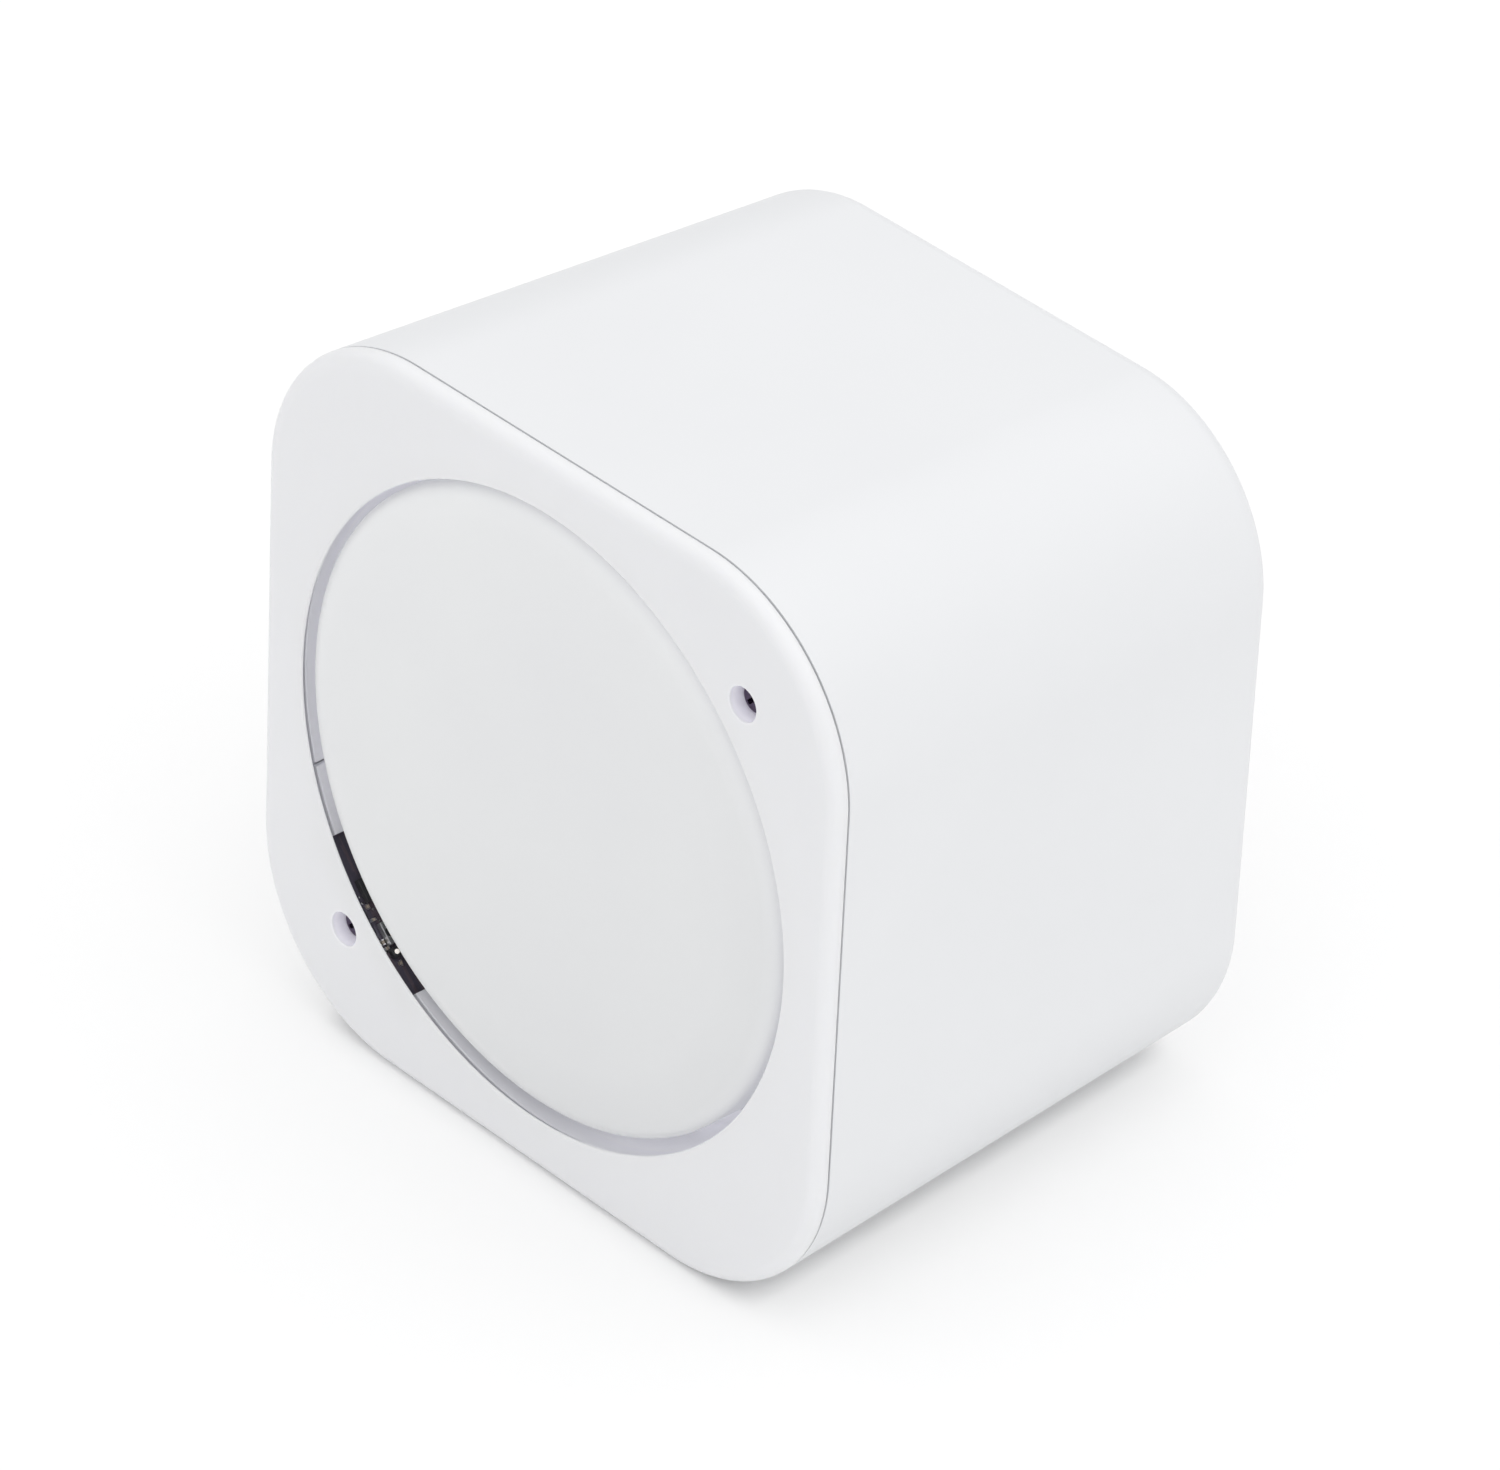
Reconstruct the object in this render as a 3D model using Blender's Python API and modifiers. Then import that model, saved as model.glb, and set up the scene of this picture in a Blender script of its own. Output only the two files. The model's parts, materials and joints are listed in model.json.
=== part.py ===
"""Smart home hub: a rounded white cube with a round front disc, built as the pieces it comes apart into.

The hub is modelled lying on its back, the way it is put together on a bench: X to the right, Y up the
front face, Z from the outside of the rear wall (0) to the front face (DEPTH). The empty hub_frame then
stands the whole assembly up, so that its drafted underside lies flat on Z = 0 and its front faces -Y.
"""

import math

import bmesh
import bpy
from mathutils import Matrix, Vector

MM = 0.001

# Driving dimensions
WIDTH = 80.0 * MM              # front edge to edge, square
DEPTH = 59.5 * MM
DRAFT = 2.85 * MM              # each side draws in this much from front to rear
CORNER_RADIUS = 19.5 * MM      # at the front, shrinking with the draft
WALL = 2.0 * MM
REAR_WALL = 2.2 * MM
SEAM = 0.2 * MM                # visible line between bezel and housing
GAP = 0.3 * MM                 # between neighbours that don't touch
SEAT = 0.1 * MM                # between a piece and what it is seated on
REAR_FILLET = 2.5 * MM
CORNER_STEPS = 8
ROUND_STEPS = 56

# Front bezel and the stack behind it
BEZEL_THICKNESS = 1.65 * MM
BEZEL_FILLET = 1.55 * MM
OPENING_RADIUS = 34.0 * MM
LIP = 0.15 * MM
UNDERCUT_RADIUS = 35.6 * MM
UNDERCUT_DEPTH = 0.9 * MM
TONGUE_DEPTH = 4.5 * MM
TONGUE_WALL = 1.2 * MM
DISC_RADIUS = 33.3 * MM
DISC_WALL = 1.6 * MM
DISC_SPOT = (-0.1 * MM, 0.4 * MM)       # the outside sits this far off the middle of the opening
DISC_ROLL = (3.0 * MM, 1.5 * MM)   # rounded edge of the disc: across, deep
DISC_DEPTH = 9.0 * MM
RING_INNER = 34.6 * MM
RING_OUTER = 35.3 * MM
RING_TOP = DEPTH - 0.95 * MM
RING_BOTTOM = 48.6 * MM
FLANGE_INNER = 25.0 * MM
FLANGE = 1.4 * MM
CARRIER_BOTTOM = RING_BOTTOM + FLANGE + GAP
CARRIER = 1.6 * MM
LED_BOARD_BOTTOM = 52.7 * MM
CHASSIS_BOTTOM = 46.7 * MM
CHASSIS = 1.6 * MM

# Sensor board that shows through the slot in the ring's wall
WINDOW_ANGLE = math.radians(-134.7)
WINDOW_SPAN = math.radians(28.3)
WINDOW_DEPTH = 8.4 * MM
SENSOR_BOARD = (19.6 * MM, 0.6 * MM, 8.1 * MM)   # along the wall, through it, deep
SENSOR_BOARD_DISTANCE = 35.0 * MM
SENSOR_BOARD_BOTTOM = 50.4 * MM
CLIP_SLOT_ANGLE = math.radians(-161.3)

# Screws and posts
SCREW_SPOT = 27.15 * MM        # bezel screws at (+s, +s) and (-s, -s), chassis screws on the other diagonal
POST_RADIUS = 2.5 * MM
RECESS_RADIUS = 1.8 * MM
RECESS_DEPTH = 3.0 * MM
BEZEL_POST_TOP = DEPTH - 4.5 * MM
RIB = 1.2 * MM
BOARD_POST_RADIUS = 2.2 * MM
PILOT_RADIUS = 1.15 * MM
PILOT_DEPTH = 11.0 * MM
CROSS_DEPTH = 0.6 * MM
BEZEL_SCREW_HEAD = (1.6 * MM, 1.3 * MM)     # radius, height
SCREW_HEAD = (1.9 * MM, 1.3 * MM)

# Boards, fan and rear connections
MAIN_BOARD = (65.0 * MM, 45.0 * MM, 1.6 * MM)
MAIN_BOARD_BOTTOM = 19.4 * MM
BOARD_HOLE = (28.5 * MM, 19.0 * MM)
FAN_CENTRE = (0.0, 10.0 * MM)
FAN_SIZE = 25.0 * MM
FAN_DEPTH = 7.0 * MM
FAN_BORE = 11.7 * MM
FAN_BLADES = 7
CARRIER_SCREW_RADIUS = 28.0 * MM
AIR_SLOTS = 12
AIR_SLOT = (2.0 * MM, 10.0 * MM)
AIR_SLOT_RADIUS = 33.0 * MM
LEDS = 6
LED = (3.2 * MM, 2.8 * MM, 0.9 * MM)
LED_CIRCLE = 21.0 * MM
CABLE_HOLE_AT = (21.5 * MM, 8.0 * MM)
CABLE_HOLE = (6.0 * MM, 9.0 * MM)
ETHERNET_AT = (-16.0 * MM, -8.0 * MM)
ETHERNET_SIZE = (16.0 * MM, 13.6 * MM)
ETHERNET_PLUG = (11.9 * MM, 8.3 * MM)
POWER_AT = (4.0 * MM, -8.0 * MM)
PAIR_AT = (20.0 * MM, -8.0 * MM)
RESET_AT = (20.0 * MM, 4.0 * MM)
SOCKET_FACE = 0.4 * MM         # how far the sockets' mouths lie inside the rear face
ETHERNET_DEPTH = 14.0 * MM
ETHERNET_KEYWAY = (6.2 * MM, 3.4 * MM)
CONTACT_PITCH = 1.02 * MM
POWER_NOSE = 4.3 * MM
POWER_BORE = 2.9 * MM
BUTTON_CAP = 4.3 * MM
BUTTON_COLLAR = 5.6 * MM
BUTTON_STEM = 1.8 * MM
BUTTON_PROUD = 0.5 * MM
VENTS = 7
VENT_SIZE = (1.8 * MM, 14.0 * MM)
VENT_PITCH = 5.0 * MM
VENT_ROW = 17.5 * MM
RADIO_HEIGHT = 2.4 * MM
SWITCH_SIZE = (6.0 * MM, 6.0 * MM, 3.5 * MM)
PLUNGER_RADIUS = 1.72 * MM
PLUNGER_RISE = 1.2 * MM

MAIN_BOARD_TOP = MAIN_BOARD_BOTTOM + MAIN_BOARD[2]
SOCKET_TOP = MAIN_BOARD_BOTTOM - GAP
DRAFT_ANGLE = math.atan2(DRAFT, DEPTH)
FAN_TOP = CHASSIS_BOTTOM - GAP
FAN_BOTTOM = FAN_TOP - FAN_DEPTH

# Finishes: colour, roughness, metallic, alpha
FINISHES = {
    "white_satin": ((0.83, 0.83, 0.85), 0.42, 0.0),
    "white_disc": ((0.80, 0.81, 0.80), 0.38, 0.0),
    "grey_plastic": ((0.62, 0.62, 0.66), 0.5, 0.0),
    "dark_plastic": ((0.05, 0.05, 0.055), 0.5, 0.0),
    "clear_plastic": ((0.86, 0.88, 0.88), 0.12, 0.0),
    "dark_board": ((0.035, 0.025, 0.03), 0.4, 0.0),
    "green_board": ((0.02, 0.16, 0.07), 0.4, 0.0),
    "dark_steel": ((0.10, 0.09, 0.10), 0.35, 1.0),
    "bright_steel": ((0.66, 0.66, 0.68), 0.28, 1.0),
    "tin": ((0.70, 0.70, 0.70), 0.32, 1.0),
    "brass": ((0.72, 0.55, 0.28), 0.3, 1.0),
    "copper": ((0.72, 0.40, 0.22), 0.35, 1.0),
    "aluminium": ((0.76, 0.77, 0.78), 0.35, 1.0),
    "led_white": ((0.86, 0.84, 0.66), 0.3, 0.0),
    "grey_pad": ((0.34, 0.36, 0.40), 0.8, 0.0),
    "cable_grey": ((0.25, 0.25, 0.27), 0.55, 0.0),
    "magnet": ((0.08, 0.08, 0.085), 0.55, 0.4),
}


def clear_scene():
    for obj in list(bpy.data.objects):
        bpy.data.objects.remove(obj, do_unlink=True)


def new_collection(name):
    collection = bpy.data.collections.new(name)
    bpy.context.scene.collection.children.link(collection)
    return collection


def stand_up(collection):
    """The empty that turns the bench frame into the standing hub, resting on its drafted underside."""
    frame = bpy.data.objects.new("hub_frame", None)
    frame.rotation_euler = (math.pi / 2 - DRAFT_ANGLE, 0, 0)
    lower_front_edge = Vector((0, -WIDTH / 2, DEPTH))
    upper_rear_edge = Vector((0, WIDTH / 2 - DRAFT - REAR_FILLET, 0))
    turn = frame.rotation_euler.to_matrix()
    low = turn @ lower_front_edge
    front_edge = turn @ (lower_front_edge + Vector((0, BEZEL_FILLET, 0)))
    high = turn @ upper_rear_edge
    frame.location = (0, -(front_edge.y + high.y) / 2, -low.z)
    collection.objects.link(frame)
    return frame


clear_scene()
HUB = new_collection("smart_home_hub")
TOOLS = new_collection("cutters")
FRAME = stand_up(HUB)


def half_width(z):
    """Half the outer width at a height above the rear face."""
    return WIDTH / 2 - DRAFT * (1 - z / DEPTH)


def material_for(name, finish):
    colour, roughness, metallic = FINISHES[finish]
    material = bpy.data.materials.new(name)
    material.use_nodes = True
    shader = material.node_tree.nodes["Principled BSDF"]
    shader.inputs["Base Color"].default_value = (*colour, 1)
    shader.inputs["Roughness"].default_value = roughness
    shader.inputs["Metallic"].default_value = metallic
    return material


def place(name, data, finish):
    """A named piece of the hub, or a tool for cutting and joining when it has no finish."""
    obj = bpy.data.objects.new(name, data)
    obj.parent = FRAME
    if finish is None:
        TOOLS.objects.link(obj)
        obj.hide_render = True
        obj.display_type = "WIRE"
    else:
        HUB.objects.link(obj)
        data.materials.append(material_for(name, finish))
    return obj


def mesh_from(bm, name, smooth=False):
    mesh = bpy.data.meshes.new(name)
    bm.to_mesh(mesh)
    bm.free()
    if smooth:
        mesh.shade_smooth()
        mesh.set_sharp_from_angle(angle=math.radians(35))
    return mesh


def block(name, size, centre, finish=None, angle=0.0, bevel=0.0):
    """A box, turned by angle about Z through its own centre."""
    bm = bmesh.new()
    bmesh.ops.create_cube(bm, size=1.0)
    bmesh.ops.scale(bm, vec=size, verts=bm.verts)
    obj = place(name, mesh_from(bm, name), finish)
    obj.location = centre
    obj.rotation_euler = (0, 0, angle)
    if bevel:
        round_edges(obj, bevel, 1)
    return obj


def block_between(name, size_xy, at_xy, bottom, top, finish=None, angle=0.0, bevel=0.0):
    centre = (at_xy[0], at_xy[1], (bottom + top) / 2)
    return block(name, (*size_xy, top - bottom), centre, finish, angle, bevel)


def rod(name, radius, bottom, top, finish=None, at=(0, 0), steps=20):
    bm = bmesh.new()
    bmesh.ops.create_cone(
        bm, cap_ends=True, segments=steps, radius1=radius, radius2=radius, depth=top - bottom
    )
    obj = place(name, mesh_from(bm, name, smooth=True), finish)
    obj.location = (at[0], at[1], (bottom + top) / 2)
    return obj


def turned(name, profile, finish=None, at=(0, 0), steps=ROUND_STEPS, closed=False):
    """A profile of (radius, height) points, listed down its outer side, swept round its own Z axis."""
    mesh = bpy.data.meshes.new(name)
    count = len(profile)
    edges = [(i, i + 1) for i in range(count - 1)]
    if closed:
        edges.append((count - 1, 0))
    mesh.from_pydata([(r, 0, z) for r, z in profile], edges, [])
    obj = place(name, mesh, finish)
    obj.location = (at[0], at[1], 0)
    screw = obj.modifiers.new("sweep", "SCREW")
    screw.axis = "Z"
    screw.steps = screw.render_steps = steps
    screw.use_merge_vertices = True
    screw.merge_threshold = 0.00001
    screw.use_smooth_shade = True
    return obj


def arc(centre, radii, start, end, steps):
    """Points of a quarter round or part of one, as (radius, height)."""
    points = []
    for i in range(steps + 1):
        angle = math.radians(start + (end - start) * i / steps)
        points.append((centre[0] + radii[0] * math.cos(angle), centre[1] + radii[1] * math.sin(angle)))
    return points


def rounded_square(bm, half, radius, z):
    """One flat face with rounded corners, at height z."""
    face = bmesh.ops.create_grid(bm, x_segments=1, y_segments=1, size=half)["verts"]
    bmesh.ops.bevel(
        bm, geom=face, offset=radius, offset_type="OFFSET", segments=CORNER_STEPS,
        profile=0.5, affect="VERTICES",
    )
    bmesh.ops.translate(bm, vec=(0, 0, z), verts=bm.verts)


def drafted_prism(bm, bottom, top, inset=0.0, radius=None):
    """A rounded square prism that follows the housing's draft, inset from its outside."""
    radius = CORNER_RADIUS if radius is None else radius
    half = half_width(top) - inset
    rounded_square(bm, half, radius - inset, top)
    lid = bm.faces[:]
    lower = bmesh.ops.extrude_face_region(bm, geom=lid)["geom"]
    verts = [v for v in lower if isinstance(v, bmesh.types.BMVert)]
    shrink = (half_width(bottom) - inset) / half
    bmesh.ops.scale(bm, vec=(shrink, shrink, 1), verts=verts)
    bmesh.ops.translate(bm, vec=(0, 0, bottom - top), verts=verts)
    bmesh.ops.recalc_face_normals(bm, faces=bm.faces)


def drop_faces_at(bm, z):
    flat = [f for f in bm.faces if all(abs(v.co.z - z) < 1e-6 for v in f.verts)]
    bmesh.ops.delete(bm, geom=flat, context="FACES_ONLY")


def round_edges(obj, width, segments, angle=40):
    bevel = obj.modifiers.new("rounding", "BEVEL")
    bevel.width = width
    bevel.segments = segments
    bevel.limit_method = "ANGLE"
    bevel.angle_limit = math.radians(angle)
    return bevel


def thicken(obj, thickness):
    shell = obj.modifiers.new("wall", "SOLIDIFY")
    shell.thickness = thickness
    shell.offset = -1
    shell.use_even_offset = True


def combine(obj, operation, tools):
    for tool in tools:
        boolean = obj.modifiers.new(tool.name, "BOOLEAN")
        boolean.operation = operation
        boolean.solver = "EXACT"
        boolean.object = tool


def cut(obj, *tools):
    combine(obj, "DIFFERENCE", tools)


def join(obj, *tools):
    combine(obj, "UNION", tools)


def on_circle(radius, angle):
    return (radius * math.cos(angle), radius * math.sin(angle))


# Screws


def pan_screw(name, at, seat, head, shank, finish="bright_steel", down=True):
    """A screw with its head's underside at seat. head and shank are (radius, length)."""
    sign = -1 if down else 1
    profile = [
        (0, seat - sign * head[1]),
        (head[0] * 0.8, seat - sign * head[1]),
        (head[0], seat - sign * head[1] * 0.6),
        (head[0], seat),
        (shank[0], seat),
        (shank[0], seat + sign * (shank[1] - shank[0])),
        (shank[0] * 0.4, seat + sign * shank[1]),
        (0, seat + sign * shank[1]),
    ]
    if not down:
        profile.reverse()
    return turned(name, profile, finish, at, steps=12)


def cross_recess(name, at, top, head_radius):
    """Two crossed slots for a cross-head driver."""
    slots = []
    for turn in (0, 1):
        slots.append(
            block_between(
                f"{name}_slot_{turn}", (head_radius * 1.5, head_radius * 0.34), at,
                top - CROSS_DEPTH, top + CROSS_DEPTH, angle=math.pi / 4 + turn * math.pi / 2,
            )
        )
    return slots


def bezel_screws():
    for number, sign in ((1, 1), (2, -1)):
        at = (sign * SCREW_SPOT, sign * SCREW_SPOT)
        seat = DEPTH - RECESS_DEPTH + SEAT
        name = f"bezel_screw_{number}"
        screw = pan_screw(name, at, seat, BEZEL_SCREW_HEAD, (1.0 * MM, 9.0 * MM), "dark_steel")
        head_radius, head_height = BEZEL_SCREW_HEAD
        cut(screw, *cross_recess(name, at, seat + head_height, head_radius))


# Housing


def housing_shell():
    """The one-piece bucket: drafted sides, rear wall, posts, and the rear wall's openings."""
    top = DEPTH - BEZEL_THICKNESS - SEAM
    bm = bmesh.new()
    drafted_prism(bm, 0, top)
    drop_faces_at(bm, top)
    shell = place("housing_shell", mesh_from(bm, "housing_shell", smooth=True), "white_satin")
    round_edges(shell, REAR_FILLET, 3)
    thicken(shell, WALL)
    join(shell, *housing_posts())
    cut(shell, *pilot_holes())
    cut(shell, *rear_openings())
    return shell


def corner_reach(z):
    """From the hub's axis to the outside of a corner, at a height above the rear face."""
    half = half_width(z)
    radius = CORNER_RADIUS * half / (WIDTH / 2)
    return (half - radius) * math.sqrt(2) + radius


def corner_rib(name, sign_x, sign_y, top):
    """A rib from a corner post to the middle of the corner's wall, following its draft."""
    bottom = REAR_WALL / 2
    post = SCREW_SPOT * math.sqrt(2)
    bm = bmesh.new()
    bmesh.ops.create_cube(bm, size=1.0)
    for vert in bm.verts:
        z = top if vert.co.z > 0 else bottom
        x = corner_reach(z) - WALL / 2 if vert.co.x > 0 else post
        vert.co = Vector((x, vert.co.y * RIB, z))
    rib = place(name, mesh_from(bm, name), None)
    rib.rotation_euler = (0, 0, math.atan2(sign_y, sign_x))
    return rib


def housing_posts():
    posts = []
    for sign_x, sign_y, top in (
        (1, 1, BEZEL_POST_TOP),
        (-1, -1, BEZEL_POST_TOP),
        (-1, 1, CHASSIS_BOTTOM - GAP),
        (1, -1, CHASSIS_BOTTOM - GAP),
    ):
        name = f"corner_post_{sign_x}_{sign_y}"
        at = (sign_x * SCREW_SPOT, sign_y * SCREW_SPOT)
        posts.append(rod(name, POST_RADIUS, REAR_WALL / 2, top, at=at, steps=16))
        posts.append(corner_rib(name + "_rib", sign_x, sign_y, top - 1.0 * MM))
    for sign_x in (1, -1):
        for sign_y in (1, -1):
            at = (sign_x * BOARD_HOLE[0], sign_y * BOARD_HOLE[1])
            name = f"board_post_{sign_x}_{sign_y}"
            top = MAIN_BOARD_BOTTOM - SEAT
            posts.append(rod(name, BOARD_POST_RADIUS, REAR_WALL / 2, top, at=at, steps=16))
    return posts


def pilot_holes():
    holes = []
    for sign_x, sign_y, top in (
        (1, 1, BEZEL_POST_TOP),
        (-1, -1, BEZEL_POST_TOP),
        (-1, 1, CHASSIS_BOTTOM - GAP),
        (1, -1, CHASSIS_BOTTOM - GAP),
    ):
        at = (sign_x * SCREW_SPOT, sign_y * SCREW_SPOT)
        name = f"corner_pilot_{sign_x}_{sign_y}"
        holes.append(rod(name, PILOT_RADIUS, top - PILOT_DEPTH, top + MM, at=at, steps=12))
    for sign_x in (1, -1):
        for sign_y in (1, -1):
            at = (sign_x * BOARD_HOLE[0], sign_y * BOARD_HOLE[1])
            top = MAIN_BOARD_BOTTOM
            name = f"board_pilot_{sign_x}_{sign_y}"
            holes.append(rod(name, PILOT_RADIUS, top - PILOT_DEPTH, top + MM, at=at, steps=12))
    return holes


def rear_openings():
    """Holes in the rear wall for the sockets, the two buttons and the air."""
    below, above = -MM, REAR_WALL + MM
    openings = [
        block_between(
            "ethernet_opening", (ETHERNET_SIZE[0] + 2 * GAP, ETHERNET_SIZE[1] + 2 * GAP),
            ETHERNET_AT, below, above,
        ),
        rod("power_opening", POWER_NOSE + GAP + SEAT, below, above, at=POWER_AT, steps=24),
        rod("pair_opening", BUTTON_CAP + GAP, below, above, at=PAIR_AT, steps=24),
        rod("reset_opening", 1.0 * MM, below, above, at=RESET_AT, steps=12),
    ]
    for number in range(VENTS):
        at = ((number - (VENTS - 1) / 2) * VENT_PITCH, VENT_ROW)
        openings.append(block_between(f"vent_{number}", VENT_SIZE, at, below, above))
    return openings


# Bezel


def front_bezel():
    """The screwed-on front frame: filleted outside, large undercut opening, tongue inside the housing."""
    bm = bmesh.new()
    drafted_prism(bm, DEPTH - BEZEL_THICKNESS, DEPTH)
    bezel = place("front_bezel", mesh_from(bm, "front_bezel", smooth=True), "white_satin")
    soften_front_edge(bezel)
    join(bezel, bezel_tongue(), *bezel_bosses())
    cut(bezel, bezel_opening(), sensor_pocket(), *bezel_screw_recesses())
    return bezel


def soften_front_edge(bezel):
    """Only the outline of the front face is rounded, not the seam edge behind it."""
    mesh = bezel.data
    weights = mesh.attributes.new("bevel_weight_edge", "FLOAT", "EDGE")
    for edge in mesh.edges:
        ends = [mesh.vertices[i].co.z for i in edge.vertices]
        weights.data[edge.index].value = 1.0 if min(ends) > DEPTH - 1e-6 else 0.0
    bevel = bezel.modifiers.new("rounding", "BEVEL")
    bevel.width = BEZEL_FILLET
    bevel.segments = 4
    bevel.limit_method = "WEIGHT"


def bezel_tongue():
    bm = bmesh.new()
    top = DEPTH - BEZEL_THICKNESS * 0.7
    bottom = DEPTH - TONGUE_DEPTH
    drafted_prism(bm, bottom, top, inset=WALL + GAP)
    drop_faces_at(bm, top)
    drop_faces_at(bm, bottom)
    tongue = place("bezel_tongue", mesh_from(bm, "bezel_tongue"), None)
    thicken(tongue, TONGUE_WALL)
    return tongue


def bezel_bosses():
    bosses = []
    for sign in (1, -1):
        at = (sign * SCREW_SPOT, sign * SCREW_SPOT)
        bottom = BEZEL_POST_TOP + GAP
        top = DEPTH - BEZEL_THICKNESS / 2
        bosses.append(rod(f"bezel_boss_{sign}", RECESS_RADIUS + 0.8 * MM, bottom, top, at=at, steps=24))
    return bosses


def bezel_opening():
    above = DEPTH + MM
    behind = DEPTH - TONGUE_DEPTH - MM
    profile = [
        (0, above),
        (OPENING_RADIUS, above),
        (OPENING_RADIUS, DEPTH - LIP),
        (UNDERCUT_RADIUS, DEPTH - UNDERCUT_DEPTH),
        (UNDERCUT_RADIUS, behind),
        (0, behind),
    ]
    return turned("bezel_opening", profile)


def sensor_pocket():
    """Relief behind the opening's edge that takes the top of the sensor board."""
    at = on_circle(SENSOR_BOARD_DISTANCE + 0.2 * MM, WINDOW_ANGLE)
    top = DEPTH - 0.65 * MM
    size = (1.8 * MM, SENSOR_BOARD[0] + 1.4 * MM)
    return block_between("sensor_pocket", size, at, DEPTH - 3 * MM, top, angle=WINDOW_ANGLE)


def bezel_screw_recesses():
    tools = []
    for sign in (1, -1):
        at = (sign * SCREW_SPOT, sign * SCREW_SPOT)
        floor = DEPTH - RECESS_DEPTH
        tools.append(rod(f"recess_{sign}", RECESS_RADIUS, floor, DEPTH + MM, at=at, steps=24))
        tools.append(rod(f"recess_hole_{sign}", PILOT_RADIUS, DEPTH - 6 * MM, floor + MM, at=at, steps=16))
    return tools


# Disc, ring and light


def front_disc():
    """The round cover: flat face, soft rolled edge, skirt down to the carrier. It sits a little high."""
    across, deep = DISC_ROLL
    roll = arc((DISC_RADIUS - across, DEPTH - deep), DISC_ROLL, 90, 0, 5)
    inner = DISC_RADIUS - DISC_WALL
    ceiling = DEPTH - DISC_WALL
    edge = DEPTH - DISC_DEPTH
    outside = [(0, DEPTH)] + roll + [(DISC_RADIUS, edge), (0, edge)]
    disc = turned("front_disc", outside, "white_disc", DISC_SPOT)
    hollow = [(0, ceiling), (inner - 1.2 * MM, ceiling), (inner, ceiling - 1.2 * MM)]
    hollow += [(inner, edge - MM), (0, edge - MM)]
    cut(disc, turned("disc_hollow", hollow))
    return disc


def inner_ring():
    """The wall around the disc: a thin ring with a flange, a slot for the sensors and air slots."""
    flange_top = RING_BOTTOM + FLANGE
    profile = [
        (RING_OUTER, RING_TOP),
        (RING_OUTER, RING_BOTTOM),
        (FLANGE_INNER, RING_BOTTOM),
        (FLANGE_INNER, flange_top),
        (RING_INNER, flange_top),
        (RING_INNER, RING_TOP),
    ]
    ring = turned("inner_ring", profile, "grey_plastic", closed=True)
    cut(ring, ring_window(), clip_slot(), *air_slots("ring_air", RING_BOTTOM, flange_top))
    cut(ring, *carrier_screw_holes("ring_screw_hole", RING_BOTTOM, flange_top))
    return ring


def ring_window():
    radius = (RING_INNER + RING_OUTER) / 2
    width = 2 * radius * math.sin(WINDOW_SPAN / 2)
    size = (6 * MM, width)
    at = on_circle(radius, WINDOW_ANGLE)
    return block_between("ring_window", size, at, RING_TOP - WINDOW_DEPTH, DEPTH, angle=WINDOW_ANGLE)


def clip_slot():
    at = on_circle((RING_INNER + RING_OUTER) / 2, CLIP_SLOT_ANGLE)
    size = (4 * MM, 0.6 * MM)
    return block_between("clip_slot", size, at, RING_TOP - 3 * MM, DEPTH, angle=CLIP_SLOT_ANGLE)


def air_slots(name, bottom, top):
    slots = []
    for number in range(AIR_SLOTS):
        angle = (number + 0.5) * 2 * math.pi / AIR_SLOTS
        at = on_circle(AIR_SLOT_RADIUS, angle)
        slots.append(block_between(f"{name}_{number}", AIR_SLOT, at, bottom - MM, top + MM, angle=angle))
    return slots


def carrier_screw_spots():
    return [on_circle(CARRIER_SCREW_RADIUS, math.radians(90 + 120 * i)) for i in range(3)]


def carrier_screw_holes(name, bottom, top):
    return [
        rod(f"{name}_{i}", 1.2 * MM, bottom - MM, top + MM, at=at, steps=12)
        for i, at in enumerate(carrier_screw_spots())
    ]


def disc_carrier():
    """The plate that the disc's skirt sits on, with bosses for the screws that hold the stack together."""
    top = CARRIER_BOTTOM + CARRIER
    outer = DISC_RADIUS - DISC_WALL - GAP
    plate = turned(
        "disc_carrier",
        [(0, top), (outer, top), (outer, CARRIER_BOTTOM), (0, CARRIER_BOTTOM)],
        "grey_plastic", steps=48,
    )
    boss_top = LED_BOARD_BOTTOM - SEAT
    bosses = [
        rod(f"carrier_boss_{i}", 2.4 * MM, CARRIER_BOTTOM + CARRIER / 2, boss_top, at=at, steps=16)
        for i, at in enumerate(carrier_screw_spots())
    ]
    holes = [
        rod(f"carrier_pilot_{i}", 1.05 * MM, CARRIER_BOTTOM - MM, boss_top - 0.6 * MM, at=at, steps=12)
        for i, at in enumerate(carrier_screw_spots())
    ]
    below = CARRIER_BOTTOM - MM
    cable_hole = block_between("carrier_cable_hole", CABLE_HOLE, CABLE_HOLE_AT, below, top + MM)
    join(plate, *bosses)
    cut(plate, cable_hole, *holes)
    return plate


def carrier_screws():
    for number, at in enumerate(carrier_screw_spots(), 1):
        seat = CHASSIS_BOTTOM - SEAT
        pan_screw(f"carrier_screw_{number}", at, seat, SCREW_HEAD, (0.9 * MM, 4.9 * MM), down=False)


def light_guide():
    radius = DISC_RADIUS - DISC_WALL - 0.5 * MM
    top = DEPTH - DISC_WALL - 0.4 * MM
    bottom = top - 1.8 * MM
    chamfer = 1.4 * MM
    profile = [(0, top), (radius - chamfer, top), (radius, top - chamfer), (radius, bottom), (0, bottom)]
    return turned("light_guide", profile, "clear_plastic", steps=48)


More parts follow.
